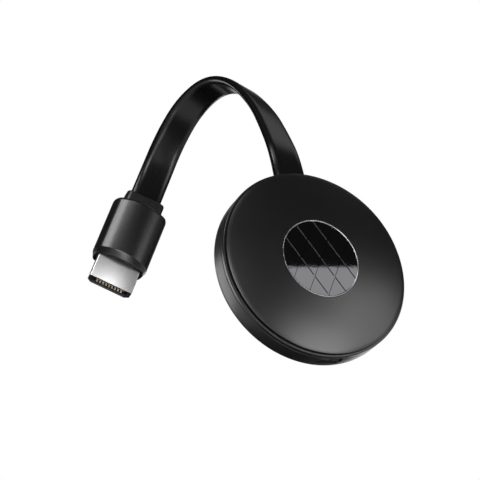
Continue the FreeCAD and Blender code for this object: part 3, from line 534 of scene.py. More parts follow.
class DongleCableProps(bpy.types.PropertyGroup):
    width: bpy.props.FloatProperty(
        name="Cable width", description="Across the flat cable",
        default=0.010, min=0.002, unit="LENGTH", subtype="DISTANCE")
    thickness: bpy.props.FloatProperty(
        name="Cable thickness", description="Through the flat cable",
        default=0.0026, min=0.0005, unit="LENGTH", subtype="DISTANCE")
    edge: bpy.props.FloatProperty(
        name="Cable edge", description="How far in the rounding of the cable's edges reaches",
        default=0.0022, min=0.0001, unit="LENGTH", subtype="DISTANCE")
    length: bpy.props.FloatProperty(
        name="Cable length", description="From the gland to the plug's collar",
        default=0.1054, min=0.03, unit="LENGTH", subtype="DISTANCE")
    color: bpy.props.StringProperty(
        name="Cable colour", description="Soft jacket, sRGB hex", default="#090909")


class DonglePlugProps(bpy.types.PropertyGroup):
    mouth_width: bpy.props.FloatProperty(
        name="Mouth width", description="Across the steel mouth",
        default=0.0139, min=0.005, unit="LENGTH", subtype="DISTANCE")
    mouth_height: bpy.props.FloatProperty(
        name="Mouth height", description="Through the steel mouth",
        default=0.00445, min=0.002, unit="LENGTH", subtype="DISTANCE")
    grip_color: bpy.props.StringProperty(
        name="Grip colour", description="Satin lacquered grip, sRGB hex", default="#0f0f10")
    steel_color: bpy.props.StringProperty(
        name="Steel colour", description="Nickel-plated mouth, sRGB hex", default="#d8d8d8")


class DongleStudioProps(bpy.types.PropertyGroup):
    key_light: bpy.props.FloatProperty(
        name="Cover light", default=6.2, min=0.0,
        description="Brightness of the softbox that lights the cover from the camera's right")
    front_light: bpy.props.FloatProperty(
        name="Front light", default=4.0, min=0.0,
        description="Brightness of the tall softbox at the camera")
    top_light: bpy.props.FloatProperty(
        name="Top light", default=9.2, min=0.0,
        description="Brightness of the softbox above the grip")
    rim_light: bpy.props.FloatProperty(
        name="Rim light", default=3.4, min=0.0,
        description="Brightness of the softbox behind the left side")
    mouth_light: bpy.props.FloatProperty(
        name="Mouth light", default=2.7, min=0.0,
        description="Brightness of the small softbox close to the steel mouth")
    floor_drop: bpy.props.FloatProperty(
        name="Floor drop", description="How far the floor lies below the plug",
        default=0.45, min=0.1, unit="LENGTH", subtype="DISTANCE")


# Puck
class DONGLE_OT_lower_shell(bpy.types.Operator):
    """Moulded tub of the puck, with its ways for the cable, socket, button and lamp"""
    bl_idname = "dongle.lower_shell"
    bl_label = "Lower shell"

    def execute(self, context):
        radius = context.scene.dongle_puck.diameter / MM / 2
        outline = [Vector((0, 0))]
        outline += softened([
            (radius - FLAT_INSET, 0, 0), (radius - BAND_DRAFT, 0, BACK_CORNER),
            (radius, RIM_Z, SEAM_ROUND), (TONGUE_R, RIM_Z, TONGUE_ROOT),
            (TONGUE_R, TONGUE_TOP, TONGUE_ROUND), (CAVITY_R, TONGUE_TOP, TONGUE_ROUND),
            (CAVITY_R, BACK_WALL, CAVITY_CORNER), (CAVITY_R - FLAT_INSET, BACK_WALL, 0)])
        outline.append(Vector((0, BACK_WALL)))
        shell = turned_piece("band_shell", outline)
        for angle in BOSS_ANGLES:
            boss = turned_piece("boss", [(BOSS_HOLE_R, BOSS_FOOT), (BOSS_R, BOSS_FOOT),
                                         (BOSS_R, BOSS_TOP), (BOSS_HOLE_R, BOSS_TOP)], BOSS_STEPS)
            boss.location = (Matrix.Rotation(math.radians(angle), 3, "Z")
                             @ Vector((BOSS_CIRCLE * MM, 0, 0)))
            context.view_layer.update()
            cut_with(shell, boss, "UNION")
        for name, size, angle, height in BAND_WAYS:
            way = bar_piece(name, round_the_band(round_rect(*size)),
                            PUCK_R - WAY_INSIDE, WAY_LENGTH)
            clear_selection()
            way.matrix_world = puck_place().inverted() @ outward_place(angle, height)
            context.view_layer.update()
            cut_with(shell, way)
        finish_piece(shell, puck_place(), smooth_angle=30.0)
        # Moulded ABS: a fine spark texture that breaks up its soft sheen
        material = surface("moulded_abs_satin", context.scene.dongle_puck.band_color, 0.36,
                           grain_mm=0.25, rough_spread=0.05, bump=0.06)
        dress(shell, material, "band_plastic", "lower_shell")
        return {"FINISHED"}


class DONGLE_OT_trim_ring(bpy.types.Operator):
    """Thin ring with the bright ledge around the cover"""
    bl_idname = "dongle.trim_ring"
    bl_label = "Trim ring"

    def execute(self, context):
        radius = context.scene.dongle_puck.diameter / MM / 2
        ring = turned_piece("ledge_ring", softened([
            (RING_IN_R, RIM_Z, RING_FOOT_ROUND), (radius, RIM_Z, SEAM_ROUND),
            (radius, RING_TOP, LEDGE_ROUND), (RING_IN_R, RING_TOP, LEDGE_INNER_ROUND)]))
        finish_piece(ring, puck_place())
        # Moulded ABS, smoother than the band, so its ledge shows as a bright line
        material = surface("moulded_abs_ring", context.scene.dongle_puck.band_color, 0.3,
                           grain_mm=0.3, rough_spread=0.04, bump=0.03)
        dress(ring, material, "ring_plastic", "trim_ring")
        return {"FINISHED"}


class DONGLE_OT_cover(bpy.types.Operator):
    """Domed cover with a sharp edge and the emblem's pocket"""
    bl_idname = "dongle.cover"
    bl_label = "Domed cover"

    def execute(self, context):
        rise = DOME_TOP - COVER_EDGE_Z
        dome_r = (COVER_EDGE_R ** 2 + rise ** 2) / (2 * rise)

        def skin(radius, drop=0.0):
            return DOME_TOP - dome_r + math.sqrt((dome_r - drop) ** 2 - radius ** 2)

        rim_r = BEZEL_R + HALF_FIT
        floor_z = skin(rim_r) - POCKET_DEPTH
        first_r = rim_r + POCKET_EDGE
        outer = [Vector((0, floor_z)), Vector((rim_r, floor_z)),
                 Vector((rim_r, skin(rim_r) - POCKET_EDGE)), Vector((first_r, skin(first_r)))]
        for ring in range(1, COVER_RINGS + 1):
            r = first_r + (COVER_EDGE_R - COVER_LIP_START - first_r) * ring / COVER_RINGS
            outer.append(Vector((r, skin(r))))
        outer += [Vector((COVER_EDGE_R - inward, COVER_EDGE_Z - down))
                  for inward, down in COVER_EDGE_LIP]
        outer += [Vector((COVER_BODY_R, COVER_EDGE_Z - COVER_EDGE_DEPTH)),
                  Vector((COVER_BODY_R, TONGUE_TOP)), Vector((SKIRT_R, TONGUE_TOP)),
                  Vector((SKIRT_R, SKIRT_FOOT)), Vector((SKIRT_R - SKIRT_WALL, SKIRT_FOOT))]
        for r in (SKIRT_R - SKIRT_WALL, *UNDERSIDE_RADII, rim_r + POCKET_WALL):
            outer.append(Vector((r, skin(r, COVER_WALL))))
        outer += [Vector((rim_r + POCKET_WALL, floor_z - POCKET_WALL)),
                  Vector((0, floor_z - POCKET_WALL))]
        cover = turned_piece("dome_cover", outer)
        finish_piece(cover, puck_place(), smooth_angle=25.0)
        # Polished ABS: a near-mirror from the mould, softened by a faint orange peel
        material = surface("polished_abs_cover", context.scene.dongle_puck.cover_color, 0.3,
                           grain_mm=0.8, rough_spread=0.02, bump=0.01)
        dress(cover, material, "cover_plastic", "top_cover")
        return {"FINISHED"}


class DONGLE_OT_emblem(bpy.types.Operator):
    """Mirror plate with its lattice, and the satin bezel around it"""
    bl_idname = "dongle.emblem"
    bl_label = "Emblem"

    def execute(self, context):
        top = (PUCK_BACK.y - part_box("emblem_bezel")[0].y) / MM
        inside = EMBLEM_R + HALF_FIT
        bezel = turned_piece("bezel_ring", softened([
            (inside, top - BEZEL_DEPTH, 0), (BEZEL_R, top - BEZEL_DEPTH, 0),
            (BEZEL_R, top, BEZEL_ROUND), (BEZEL_INNER_R, top, BEZEL_ROUND / 2),
            (inside, top - BEZEL_ROUND, 0)]))
        finish_piece(bezel, puck_place())
        # Satin chrome plate: a grey line that brightens only where it meets a light
        dress(bezel, surface("satin_chrome_plate", "#9c9ca0", 0.26, grain_mm=0.5,
                             rough_spread=0.03, bump=0.01, dark=0.95, metallic=1.0),
              "bezel_chrome", "emblem_bezel")
        # Vacuum-metallised acrylic: dark mirror, flat enough to show a room's edge as a line
        plate = surface("metallised_acrylic", context.scene.dongle_puck.emblem_color, 0.02,
                        grain_mm=0.6, rough_spread=0.01, bump=0.004, dark=0.96, metallic=1.0)
        finish_nodes(plate, "emblem_plate")
        return {"FINISHED"}


class DONGLE_OT_socket_and_button(bpy.types.Operator):
    """Power socket, reset button with its switch, and the lamp's light pipe"""
    bl_idname = "dongle.socket_and_button"
    bl_label = "Socket and button"

    def execute(self, context):
        cap = turned_piece("button_cap", [(radius, PUCK_R + height)
                                          for radius, height in CAP_OUTLINE], CAP_SPIN_STEPS)
        finish_piece(cap, outward_place(BUTTON_ANGLE, BUTTON_Z), smooth_angle=40.0,
                     body="button")
        # Moulded ABS like the band, worn a little smoother by fingertips
        dress(cap, surface("moulded_abs_button", "#151516", 0.32, grain_mm=0.2),
              "band_plastic", "reset_button")
        pipe = turned_piece("lamp_pipe", [(radius, PUCK_R + height)
                                          for radius, height in PIPE_OUTLINE], PIPE_SPIN_STEPS)
        finish_piece(pipe, outward_place(LAMP_ANGLE, BUTTON_Z), smooth_angle=40.0)
        # Clear acrylic rod: bright inside and frosted at its end
        dress(pipe, surface("clear_acrylic", "#e8ecef", 0.18, grain_mm=0.3, dark=0.95,
                            Transmission_Weight=0.9, IOR=1.49), "clear_plastic", "light_pipe")
        # Nickel-plated steel: drawn and folded, so faint lines follow the fold
        steel = surface("nickel_steel_socket", "#cfcfcc", 0.26, grain_mm=0.15, metallic=1.0,
                        stretch=(1, 1, 0.15), dark=0.92)
        finish_nodes(steel, "socket_shell")
        # Glass-filled nylon: matt black with pale fibre specks
        nylon = surface("glass_nylon_black", "#0b0b0b", 0.6, grain_mm=0.12, bump=0.1)
        finish_nodes(nylon, "socket_blade", "switch_body")
        # Acetal: milky white and waxy
        finish_nodes(surface("acetal_white", "#e4e2dc", 0.42, grain_mm=0.4, dark=0.95,
                             Subsurface_Weight=0.1), "switch_plunger", "status_lamp")
        return {"FINISHED"}


# Cable
def spline_points(corners):
    """Points read along a smooth spline that has the corners as its control points."""
    curve = bpy.data.curves.new("route", "CURVE")
    curve.dimensions = "3D"
    spline = curve.splines.new("NURBS")
    spline.points.add(len(corners) - 1)
    for point, corner in zip(spline.points, corners):
        point.co = (*corner, 1.0)
    spline.order_u = SPLINE_ORDER
    spline.use_endpoint_u = True
    spline.resolution_u = SPLINE_STEPS
    holder = bpy.data.objects.new("route", curve)
    bpy.context.scene.collection.objects.link(holder)
    bpy.context.view_layer.update()
    line = bpy.data.meshes.new_from_object(holder)
    points = [v.co.copy() for v in line.vertices]
    bpy.data.objects.remove(holder)
    return points


def carried_frames(points, first_outward, last_outward):
    """Way and outward side at each point, turning evenly from the first side to the last."""
    ways = [(points[min(k + 1, len(points) - 1)] - points[max(k - 1, 0)]).normalized()
            for k in range(len(points))]
    sides = [first_outward.copy()]
    lengths = [0.0]
    for k in range(1, len(points)):
        side = ways[k - 1].rotation_difference(ways[k]) @ sides[-1]
        sides.append((side - ways[k] * side.dot(ways[k])).normalized())
        lengths.append(lengths[-1] + (points[k] - points[k - 1]).length)
    wanted = (last_outward - ways[-1] * last_outward.dot(ways[-1])).normalized()
    twist = math.atan2(sides[-1].cross(wanted).dot(ways[-1]), sides[-1].dot(wanted))
    sides = [Matrix.Rotation(twist * length / lengths[-1], 3, way) @ side
             for side, way, length in zip(sides, ways, lengths)]
    return ways, sides, lengths


class DONGLE_OT_ribbon(bpy.types.Operator):
    """Flat cable on one smooth line, turned evenly from the puck to the plug"""
    bl_idname = "dongle.ribbon"
    bl_label = "Flat cable"

    def execute(self, context):
        sizes = context.scene.dongle_cable
        points = spline_points(ROUTE)
        crown = plug_place().to_3x3() @ Vector((0, 1, 0))
        ways, sides, lengths = carried_frames(points, Vector((0, -1, 0)), -crown)
        section = oval_rect(sizes.width / MM, sizes.thickness / MM, sizes.edge / MM,
                            sizes.thickness / MM * EDGE_SHARE)
        count = len(section)
        verts = []
        for point, way, side in zip(points, ways, sides):
            across = way.cross(side)
            verts += [point + across * (s[0] * MM) + side * (s[1] * MM) for s in section]
        faces = []
        for ring in range(len(points) - 1):
            for k in range(count):
                a = ring * count + k
                b = ring * count + (k + 1) % count
                faces.append((a, b, b + count, a + count))
        faces.append(tuple(reversed(range(count))))
        faces.append(tuple(range(len(verts) - count, len(verts))))
        mesh = bpy.data.meshes.new("flat_cable")
        mesh.from_pydata(verts, [], faces)
        cable = bpy.data.objects.new("flat_cable", mesh)
        context.scene.collection.objects.link(cable)
        uv = mesh.uv_layers.new(name="along")
        for face in mesh.polygons:
            for loop, vertex in zip(face.loop_indices, face.vertices):
                ring, k = divmod(vertex, count)
                uv.data[loop].uv = (section[k][0] / UV_MM, lengths[ring] / MM / UV_MM)
        clear_selection()
        context.view_layer.objects.active = cable
        cable.select_set(True)
        bpy.ops.object.mode_set(mode="EDIT")
        bpy.ops.mesh.select_all(action="SELECT")
        bpy.ops.mesh.normals_make_consistent(inside=False)
        finish_piece(cable, Matrix.Identity(4), smooth_angle=50.0)
        dress(cable, cable_jacket(sizes.color), "cable_jacket", "ribbon_cable")
        return {"FINISHED"}


def cable_jacket(color):
    """Extruded soft jacket: satin, with faint drawn lines along its length.

    The lines are 0.25 mm apart and about 7 mm long.
    """
    material, tree, shader = new_material("extruded_soft_jacket")
    place = node(tree, "ShaderNodeUVMap", uv_map="along").outputs["UV"]
    drawn = node(tree, "ShaderNodeMapping", {"Vector": place, "Scale": (40, 1.5, 1)}).outputs[0]
    lines = node(tree, "ShaderNodeTexNoise", {"Vector": drawn, "Scale": 1.0, "Detail": 2.0})
    solid = node(tree, "ShaderNodeTexCoord").outputs["Object"]
    grain = node(tree, "ShaderNodeTexNoise", {"Vector": solid, "Scale": 1 / (0.25 * MM),
                                              "Detail": 2.0})
    height = node(tree, "ShaderNodeMath", {0: lines.outputs["Fac"], 1: grain.outputs["Fac"]},
                  operation="ADD").outputs[0]
    coat(tree, shader, color, 0.85, lines.outputs["Fac"], grain.outputs["Fac"],
         [(0.2, 0.22), (0.8, 0.27)], height, 0.04, 0.1 * MM)
    shader.inputs["Specular IOR Level"].default_value = 0.3
    return material


class DONGLE_OT_gland(bpy.types.Operator):
    """Moulded block that the cable leaves the puck by"""
    bl_idname = "dongle.gland"
    bl_label = "Cable gland"

    def execute(self, context):
        gland = bar_piece("cable_mouth", round_the_band(round_rect(*GLAND_SIZE)),
                          PUCK_R - GLAND_INSIDE, GLAND_INSIDE + GLAND_PROUD)
        round_edges(PUCK_R + GLAND_PROUD, GLAND_EDGE)
        finish_piece(gland, outward_place(CABLE_ANGLE, CABLE_Z))
        # Soft moulding round the cable: matt and a little rubbery
        dress(gland, surface("soft_moulding", "#0f0f10", 0.42, grain_mm=0.25, bump=0.05),
              "ring_plastic", "cable_gland")
        return {"FINISHED"}


# Plug
def crowned(x, y, crown, side):
    """Closed outline with four bowed sides and rounded corners, in millimetres."""
    corners = [(x, y), (-x, y), (-x, -y), (x, -y)]
    middles = [(0, crown), (-side, 0), (0, -crown), (side, 0)]
    bowed = [Vector(corners[0])]
    for k in range(4):
        bowed += arc_points(corners[k], middles[k], corners[(k + 1) % 4], BOW_STEPS)
    bowed.pop()
    outline = []
    for k, point in enumerate(bowed):
        if k % BOW_STEPS == 0:
            before = bowed[k - 1]
            after = bowed[(k + 1) % len(bowed)]
            enter = point + (before - point).normalized() * GRIP_CORNER
            leave = point + (after - point).normalized() * GRIP_CORNER
            for step in range(CORNER_STEPS + 1):
                t = step / CORNER_STEPS
                outline.append(enter * (1 - t) ** 2 + point * 2 * t * (1 - t) + leave * t ** 2)
        elif k % BOW_STEPS not in (1, BOW_STEPS - 1):
            outline.append(point)
    return outline


class DONGLE_OT_grip(bpy.types.Operator):
    """Crowned grip with a bevelled front and a dark recess round the steel mouth"""
    bl_idname = "dongle.grip"
    bl_label = "Grip"

    def execute(self, context):
        front_z = -MOUTH_SHOWS
        bevel_z = front_z - BEVEL_LENGTH
        back_z = front_z - GRIP_LENGTH
        grip = bar_piece("grip_mould", crowned(*GRIP_SECTION), bevel_z, back_z - bevel_z)
        round_edges(back_z, GRIP_REAR_ROUND, segments=5)
        slice_at(*(back_z + reach for reach in GRIP_REAR_LOOPS),
                 *(bevel_z - reach for reach in GRIP_FRONT_LOOPS))
        select_where(level_faces(bevel_z * MM))
        bpy.ops.mesh.delete(type="ONLY_FACE")
        front = [Vector((x, y, front_z)) * MM for x, y in crowned(*BEVEL_SECTION)]
        trace(front + front[:1])
        merged()
        at_bevel, at_front = level_edges(bevel_z * MM), level_edges(front_z * MM)
        select_where(lambda edge: at_bevel(edge) or at_front(edge), "EDGE")
        bpy.ops.mesh.bridge_edge_loops()
        select_where(at_front, "EDGE")
        bpy.ops.mesh.edge_face_add()
        select_where(level_faces(front_z * MM))
        bpy.ops.mesh.inset(thickness=RECESS_LIP * MM)
        bpy.ops.mesh.extrude_region_move(
            TRANSFORM_OT_translate={"value": (0, 0, -RECESS_DEPTH * MM)})
        merged()
        round_edges(bevel_z, BEVEL_EDGE, segments=2)
        round_edges(front_z, RECESS_EDGE, segments=1)
        merged()
        finish_piece(grip, plug_place(), smooth_angle=28.0)
        # Satin lacquer with a fine metal flake over ABS: dark, with a broad silky highlight
        material = surface("satin_lacquer_grip", context.scene.dongle_plug.grip_color, 0.29,
                           grain_mm=0.2, rough_spread=0.04, bump=0.03,
                           Specular_IOR_Level=0.6)
        dress(grip, material, "grip_plastic", "plug_mould")
        return {"FINISHED"}


class DONGLE_OT_collar(bpy.types.Operator):
    """Strain relief collar behind the grip"""
    bl_idname = "dongle.collar"
    bl_label = "Collar"

    def execute(self, context):
        start = -MOUTH_SHOWS - GRIP_LENGTH
        collar = bar_piece("grip_collar", round_rect(*COLLAR_SIZE), start - HALF_FIT,
                           HALF_FIT - COLLAR_LENGTH)
        round_edges(start - COLLAR_LENGTH, COLLAR_EDGE, segments=4)
        finish_piece(collar, plug_place())
        # Moulded ABS like the band: a soft sheen, with no line where it meets the grip
        dress(collar, surface("moulded_abs_collar", "#131314", 0.34, grain_mm=0.25, bump=0.05),
              "grip_plastic", "plug_collar")
        return {"FINISHED"}


class DONGLE_OT_mouth(bpy.types.Operator):
    """Steel mouth with its bevelled lower corners and latch windows, and what is inside"""
    bl_idname = "dongle.mouth"
    bl_label = "Steel mouth"

    def execute(self, context):
        sizes = context.scene.dongle_plug
        x, y = sizes.mouth_width / MM / 2, sizes.mouth_height / MM / 2
        low = MOUTH_BEVEL - y
        outline = softened([(*place, MOUTH_CORNER) for place in (
            (x, y), (-x, y), (-x, low), (MOUTH_BEVEL - x, -y), (x - MOUTH_BEVEL, -y), (x, low))])
        mouth = bar_piece("steel_mouth", outline, 0.0, -MOUTH_LENGTH)
        select_where(level_faces(0.0))
        bpy.ops.mesh.inset(thickness=MOUTH_WALL * MM)
        bpy.ops.mesh.extrude_region_move(
            TRANSFORM_OT_translate={"value": (0, 0, (MOUTH_WALL - MOUTH_LENGTH) * MM)})
        merged()
        for side in (-1, 1):
            window = bar_piece("window", round_rect(*WINDOW_SIZE), -WINDOW_START, -WINDOW_DEPTH)
            clear_selection()
            window.matrix_world = (
                Matrix.Translation(Vector((side * WINDOW_SPREAD, 0, -WINDOW_BACK)) * MM)
                @ Matrix.Rotation(-QUARTER_TURN, 4, "X"))
            context.view_layer.update()
            cut_with(mouth, window)
        finish_piece(mouth, plug_place())
        # Nickel-plated steel: bright, with faint drawn lines towards the mouth
        dress(mouth, surface("nickel_steel_mouth", sizes.steel_color, 0.3, grain_mm=0.12,
                             rough_spread=0.05, bump=0.03, dark=0.94, metallic=1.0),
              "nickel_steel", "plug_shell")
        # Glass-filled nylon: matt black, so the mouth and its surround look like a dark well
        matt = surface("glass_filled_black", "#080808", 0.62, grain_mm=0.15, bump=0.08)
        finish_nodes(matt, "plug_insulator", "plug_nose", "plug_frame")
        return {"FINISHED"}


class DONGLE_OT_inner_parts(bpy.types.Operator):
    """Finishes of the board, the chips and the small parts inside"""
    bl_idname = "dongle.inner_parts"
    bl_label = "Inner parts"

    def execute(self, context):
        # Gold flash over nickel: pale, and worn matt where a socket's springs rub
        finish_nodes(surface("gold_flash", "#f3ead0", 0.4, grain_mm=0.1, metallic=0.35,
                             dark=0.95), "plug_contacts", "socket_pins", "antenna_strip")
        # Solder mask over woven glass: glossy green with the weave just showing
        finish_nodes(surface("solder_mask_green", "#12502f", 0.3, grain_mm=0.35, bump=0.1,
                             dark=0.7), "main_board", "radio_board", "plug_board")
        # Epoxy mould compound: matt black with a fine grain
        finish_nodes(surface("epoxy_compound", "#1a1a1b", 0.55, grain_mm=0.12, bump=0.08),
                     "processor", "memory_chip", "flash_chip", "regulator")
        # Zinc-plated steel: bright, and slightly blue
        finish_nodes(surface("zinc_steel", "#b4b7bc", 0.32, grain_mm=0.2, metallic=1.0, dark=0.9),
                     "board_screws")
        # Tin-plated steel sheet: pale grey, with an even, dull sheen
        finish_nodes(surface("tin_plate", "#c3c3c0", 0.35, grain_mm=0.3, metallic=1.0, dark=0.9),
                     "radio_can", "heat_spreader", "crystal")
        # Ferrite: dull dark grey with fine pores
        finish_nodes(surface("ferrite", "#3a3a3c", 0.6, grain_mm=0.2, bump=0.2), "inductors")
        # Fired ceramic: an even tan with a soft sheen
        finish_nodes(surface("fired_ceramic", "#8a7560", 0.4, grain_mm=0.15), "capacitors")
        # Filled silicone pad: soft blue-grey
        finish_nodes(surface("silicone_pad", "#7f8da0", 0.75, grain_mm=0.3, bump=0.15),
                     "thermal_pad")
        # Drawn copper strands, bare: bright and reddish
        finish_nodes(surface("copper_strand", "#c98a5e", 0.28, grain_mm=0.1, metallic=1.0),
                     "puck_wires", "plug_wires")
        return {"FINISHED"}


# Stage, in metres, with the lens and its sensor in millimetres
CAMERA_PLACE = Vector((-0.2582, -0.5320, -0.2533))
CAMERA_LOOKS = Vector((0.456372, 0.792824, 0.403923))
CAMERA_UP = Vector((-0.036474, -0.436903, 0.898769))
CAMERA_LENS = 158.94
CAMERA_SENSOR = 36.0
CAMERA_REACH = 20.0
FLOOR_SIDE = 6.0

# Points of the plug that softboxes aim at, in its own axes
GRIP_CREST = Vector((0, 0.006, -0.018))
MOUTH_CONTACTS = Vector((0, 0.002, -0.003))

# Softboxes: what each aims at, its direction as parts of the camera's right, up and back, its
# distance, its width and height, and the light that it belongs to with its share of it
SOFTBOXES = (
    ("right_softbox", "face", (0.76, 0.22, 0.61), 0.3, 0.125, 0.10, "key_light", 1.0),
    ("right_fill", "face", (0.92, 0.34, 0.21), 0.3, 0.125, 0.12, "key_light", 0.4),
    ("upper_fill", "face", (0.78, 0.51, 0.36), 0.3, 0.09, 0.09, "key_light", 0.12),
    ("upper_softbox", "middle", (0.11, 0.62, 0.78), 0.6, 0.17, 0.17, "front_light", 2.0),
    ("front_strip", "middle", (0.22, 0.14, 0.96), 0.6, 0.11, 0.50, "front_light", 1.0),
    ("crest_softbox", "middle", (-0.30, 0.91, 0.28), 0.6, 0.18, 0.16, "top_light", 1.0),
    ("top_softbox", "middle", (0.04, 0.97, 0.22), 0.6, 0.20, 0.20, "top_light", 0.24),
    ("left_softbox", "middle", (-0.86, -0.20, -0.47), 0.6, 0.22, 0.34, "rim_light", 1.0),
    ("right_rear", "middle", (0.46, 0.71, -0.53), 0.6, 0.26, 0.26, "rim_light", 0.14),
    ("low_rear", "face", (0.20, -0.47, -0.86), 0.6, 0.24, 0.24, "rim_light", 0.6),
    ("mouth_softbox", "mouth", (0.40, 0.52, 0.75), 0.038, 0.02, 0.02, "mouth_light", 1.0),
)

# Where the horizon shows on the emblem, in pixels of the square picture, and its card
PICTURE_SIDE = 480
HORIZON_ROW = 267
HORIZON_LEFT = 265
HORIZON_RIGHT = 372
CARD_ROW = 330
CARD_DISTANCE = 0.30
CARD_GLOW = 1.17

# Black flag below the camera's view: where it stands from the cover, the way up it, and its
# half sides
FLAG_WAY = (-0.15, -0.86, -0.48)
FLAG_UP = (0, -0.48, 0.86)
FLAG_DISTANCE = 0.25
FLAG_HALF_WIDTH = 0.2
FLAG_HALF_HEIGHT = 0.15


def camera_axes():
    """Right, up and back directions of the camera."""
    back = -CAMERA_LOOKS.normalized()
    right = CAMERA_UP.cross(back).normalized()
    return right, back.cross(right), back


def from_camera(right, up, back):
    """Direction in the part's frame, from parts along the camera's axes."""
    axes = camera_axes()
    return (axes[0] * right + axes[1] * up + axes[2] * back).normalized()


def softbox(name, aim, way, distance, width, height, radiance):
    """Area light that shines on a point from a direction given along the camera's axes."""
    way = from_camera(*way)
    clear_selection()
    bpy.ops.object.light_add(type="AREA", location=aim + way * distance)
    lamp = bpy.context.active_object
    lamp.name = name
    lamp.data.shape = "RECTANGLE"
    lamp.data.size = width
    lamp.data.size_y = height
    lamp.data.energy = 4 * width * height * radiance
    lamp.rotation_euler = way.to_track_quat("Z", "Y").to_euler()
    lamp.visible_camera = False


def mirrored_point(column, row, distance):
    """Where the camera's ray through a pixel ends up after it meets the flat emblem."""
    right, up, back = camera_axes()
    spread = CAMERA_SENSOR / CAMERA_LENS / PICTURE_SIDE
    ray = (right * ((column - PICTURE_SIDE / 2) * spread) - back
           - up * ((row - PICTURE_SIDE / 2) * spread)).normalized()
    plate_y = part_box("emblem_plate")[0].y
    hit = CAMERA_PLACE + ray * ((plate_y - CAMERA_PLACE.y) / ray.y)
    return hit + Vector((ray.x, -ray.y, ray.z)) * distance


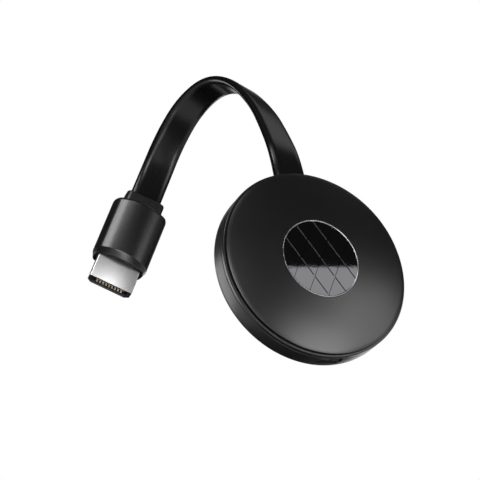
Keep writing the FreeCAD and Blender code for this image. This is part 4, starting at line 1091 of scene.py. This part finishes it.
class DONGLE_OT_stage(bpy.types.Operator):
    """Camera, softboxes, reflection cards, pale floor and white surroundings"""
    bl_idname = "dongle.stage"
    bl_label = "Stage"

    def execute(self, context):
        scene = context.scene
        studio = scene.dongle_studio
        clear_selection()
        right, up, back = camera_axes()
        bpy.ops.object.camera_add(location=CAMERA_PLACE)
        camera = context.active_object
        camera.name = "photo_camera"
        camera.matrix_world = (Matrix.Translation(CAMERA_PLACE)
                               @ Matrix((right, up, back)).transposed().to_4x4())
        camera.data.lens = CAMERA_LENS
        camera.data.sensor_width = CAMERA_SENSOR
        camera.data.clip_end = CAMERA_REACH
        scene.camera = camera
        face = puck_place() @ Vector((0, 0, DOME_TOP * MM))
        crest = plug_place() @ GRIP_CREST
        aims = {"face": face, "middle": (face + crest) / 2,
                "mouth": plug_place() @ MOUTH_CONTACTS}
        for name, aim, way, distance, width, height, light, share in SOFTBOXES:
            softbox(name, aims[aim], way, distance, width, height,
                    getattr(studio, light) * share)
        self.card("horizon_card", [
            mirrored_point(column, row, CARD_DISTANCE)
            for column, row in ((HORIZON_LEFT, HORIZON_ROW), (HORIZON_RIGHT, HORIZON_ROW),
                                (HORIZON_RIGHT, CARD_ROW), (HORIZON_LEFT, CARD_ROW))], CARD_GLOW)
        flag = face + from_camera(*FLAG_WAY) * FLAG_DISTANCE
        self.card("black_flag", [
            flag + from_camera(1, 0, 0) * (x * FLAG_HALF_WIDTH)
            + from_camera(*FLAG_UP) * (y * FLAG_HALF_HEIGHT)
            for x, y in ((-1, -1), (1, -1), (1, 1), (-1, 1))], 0.0)
        self.floor(context, studio.floor_drop)
        self.surroundings(scene)
        scene.view_settings.view_transform = "Standard"
        return {"FINISHED"}

    def card(self, name, corners, strength):
        """Plain card that only reflections show, evenly bright, or black to keep light off."""
        card = start_piece(name)
        trace(corners + corners[:1])
        bpy.ops.mesh.select_all(action="SELECT")
        bpy.ops.mesh.remove_doubles(threshold=MM)
        bpy.ops.mesh.select_all(action="SELECT")
        bpy.ops.mesh.edge_face_add()
        clear_selection()
        # Matt board under its own light: an even pale patch in a mirror, or a black one
        material = bpy.data.materials.new(name)
        material.use_nodes = True
        tree = material.node_tree
        tree.nodes.clear()
        glow = node(tree, "ShaderNodeEmission", {
            "Color": linear("#dddddd"), "Strength": strength})
        node(tree, "ShaderNodeOutputMaterial", {"Surface": glow.outputs[0]})
        card.data.materials.append(material)
        card.visible_camera = False
        card.visible_diffuse = False
        card.visible_shadow = False

    def floor(self, context, drop):
        """Pale matt floor, well below the hanging plug."""
        clear_selection()
        bpy.ops.mesh.primitive_plane_add(size=FLOOR_SIDE, location=(0, 0, -drop))
        floor = context.active_object
        floor.name = "floor"
        bpy.ops.object.transform_apply(location=True, rotation=True, scale=True)
        # Matt white paint: pale and even, with no reflection of the plug
        material, _, shader = new_material("pale_floor")
        shader.inputs["Base Color"].default_value = linear("#f2f2f2")
        shader.inputs["Roughness"].default_value = 0.8
        floor.data.materials.append(material)

    def surroundings(self, scene):
        """White to the camera and pale grey to matt surfaces.

        Reflections see a dark room that is white only where the camera looks.
        """
        world = bpy.data.worlds.new("white_studio")
        world.use_nodes = True
        tree = world.node_tree
        tree.nodes.clear()
        way = node(tree, "ShaderNodeTexCoord").outputs["Generated"]
        behind = node(tree, "ShaderNodeVectorMath", {0: way, 1: CAMERA_LOOKS},
                      operation="DOT_PRODUCT").outputs["Value"]
        # Each stop: the cosine of the angle off the camera's way, and the brightness there
        room = node(tree, "ShaderNodeValToRGB", {"Fac": behind}, [
            (0.0, 0.015), (0.94, 0.02), (0.985, 1.0), (1.0, 1.0)]).outputs["Color"]
        rays = node(tree, "ShaderNodeLightPath")
        seen = (0.7, 0.7, 0.7, 1)
        for ray, light in (("Is Glossy Ray", room), ("Is Transmission Ray", (1, 1, 1, 1)),
                           ("Is Camera Ray", (1, 1, 1, 1))):
            seen = node(tree, "ShaderNodeMix", {"Factor": rays.outputs[ray], 6: seen, 7: light},
                        data_type="RGBA").outputs[2]
        glow = node(tree, "ShaderNodeBackground", {"Color": seen, "Strength": 1.0})
        node(tree, "ShaderNodeOutputWorld", {"Surface": glow.outputs[0]})
        scene.world = world


class DONGLE_PT_panel(bpy.types.Panel):
    """Sizes, finishes and the steps that build the dongle"""
    bl_idname = "DONGLE_PT_panel"
    bl_label = "Display dongle"
    bl_space_type = "VIEW_3D"
    bl_region_type = "UI"
    bl_category = "Dongle"

    def draw(self, context):
        for group in (context.scene.dongle_puck, context.scene.dongle_cable,
                      context.scene.dongle_plug, context.scene.dongle_studio):
            box = self.layout.box()
            for name in group.bl_rna.properties.keys():
                if name not in ("rna_type", "name"):
                    box.prop(group, name)
        for step in STEPS:
            self.layout.operator(step.bl_idname)


STEPS = (
    DONGLE_OT_stage,
    DONGLE_OT_lower_shell,
    DONGLE_OT_trim_ring,
    DONGLE_OT_cover,
    DONGLE_OT_emblem,
    DONGLE_OT_socket_and_button,
    DONGLE_OT_gland,
    DONGLE_OT_grip,
    DONGLE_OT_collar,
    DONGLE_OT_mouth,
    DONGLE_OT_ribbon,
    DONGLE_OT_inner_parts,
)
GROUPS = (
    ("dongle_puck", DonglePuckProps),
    ("dongle_cable", DongleCableProps),
    ("dongle_plug", DonglePlugProps),
    ("dongle_studio", DongleStudioProps),
)


def register():
    for name, group in GROUPS:
        bpy.utils.register_class(group)
        setattr(bpy.types.Scene, name, bpy.props.PointerProperty(type=group))
    for step in STEPS + (DONGLE_PT_panel,):
        bpy.utils.register_class(step)


def unregister():
    for step in reversed(STEPS + (DONGLE_PT_panel,)):
        bpy.utils.unregister_class(step)
    for name, group in reversed(GROUPS):
        delattr(bpy.types.Scene, name)
        bpy.utils.unregister_class(group)


def main():
    """Builds everything in order."""
    register()
    for step in STEPS:
        family, action = step.bl_idname.split(".")
        getattr(getattr(bpy.ops, family), action)()
    clear_selection()
    bpy.context.view_layer.update()


if __name__ == "__main__":
    main()
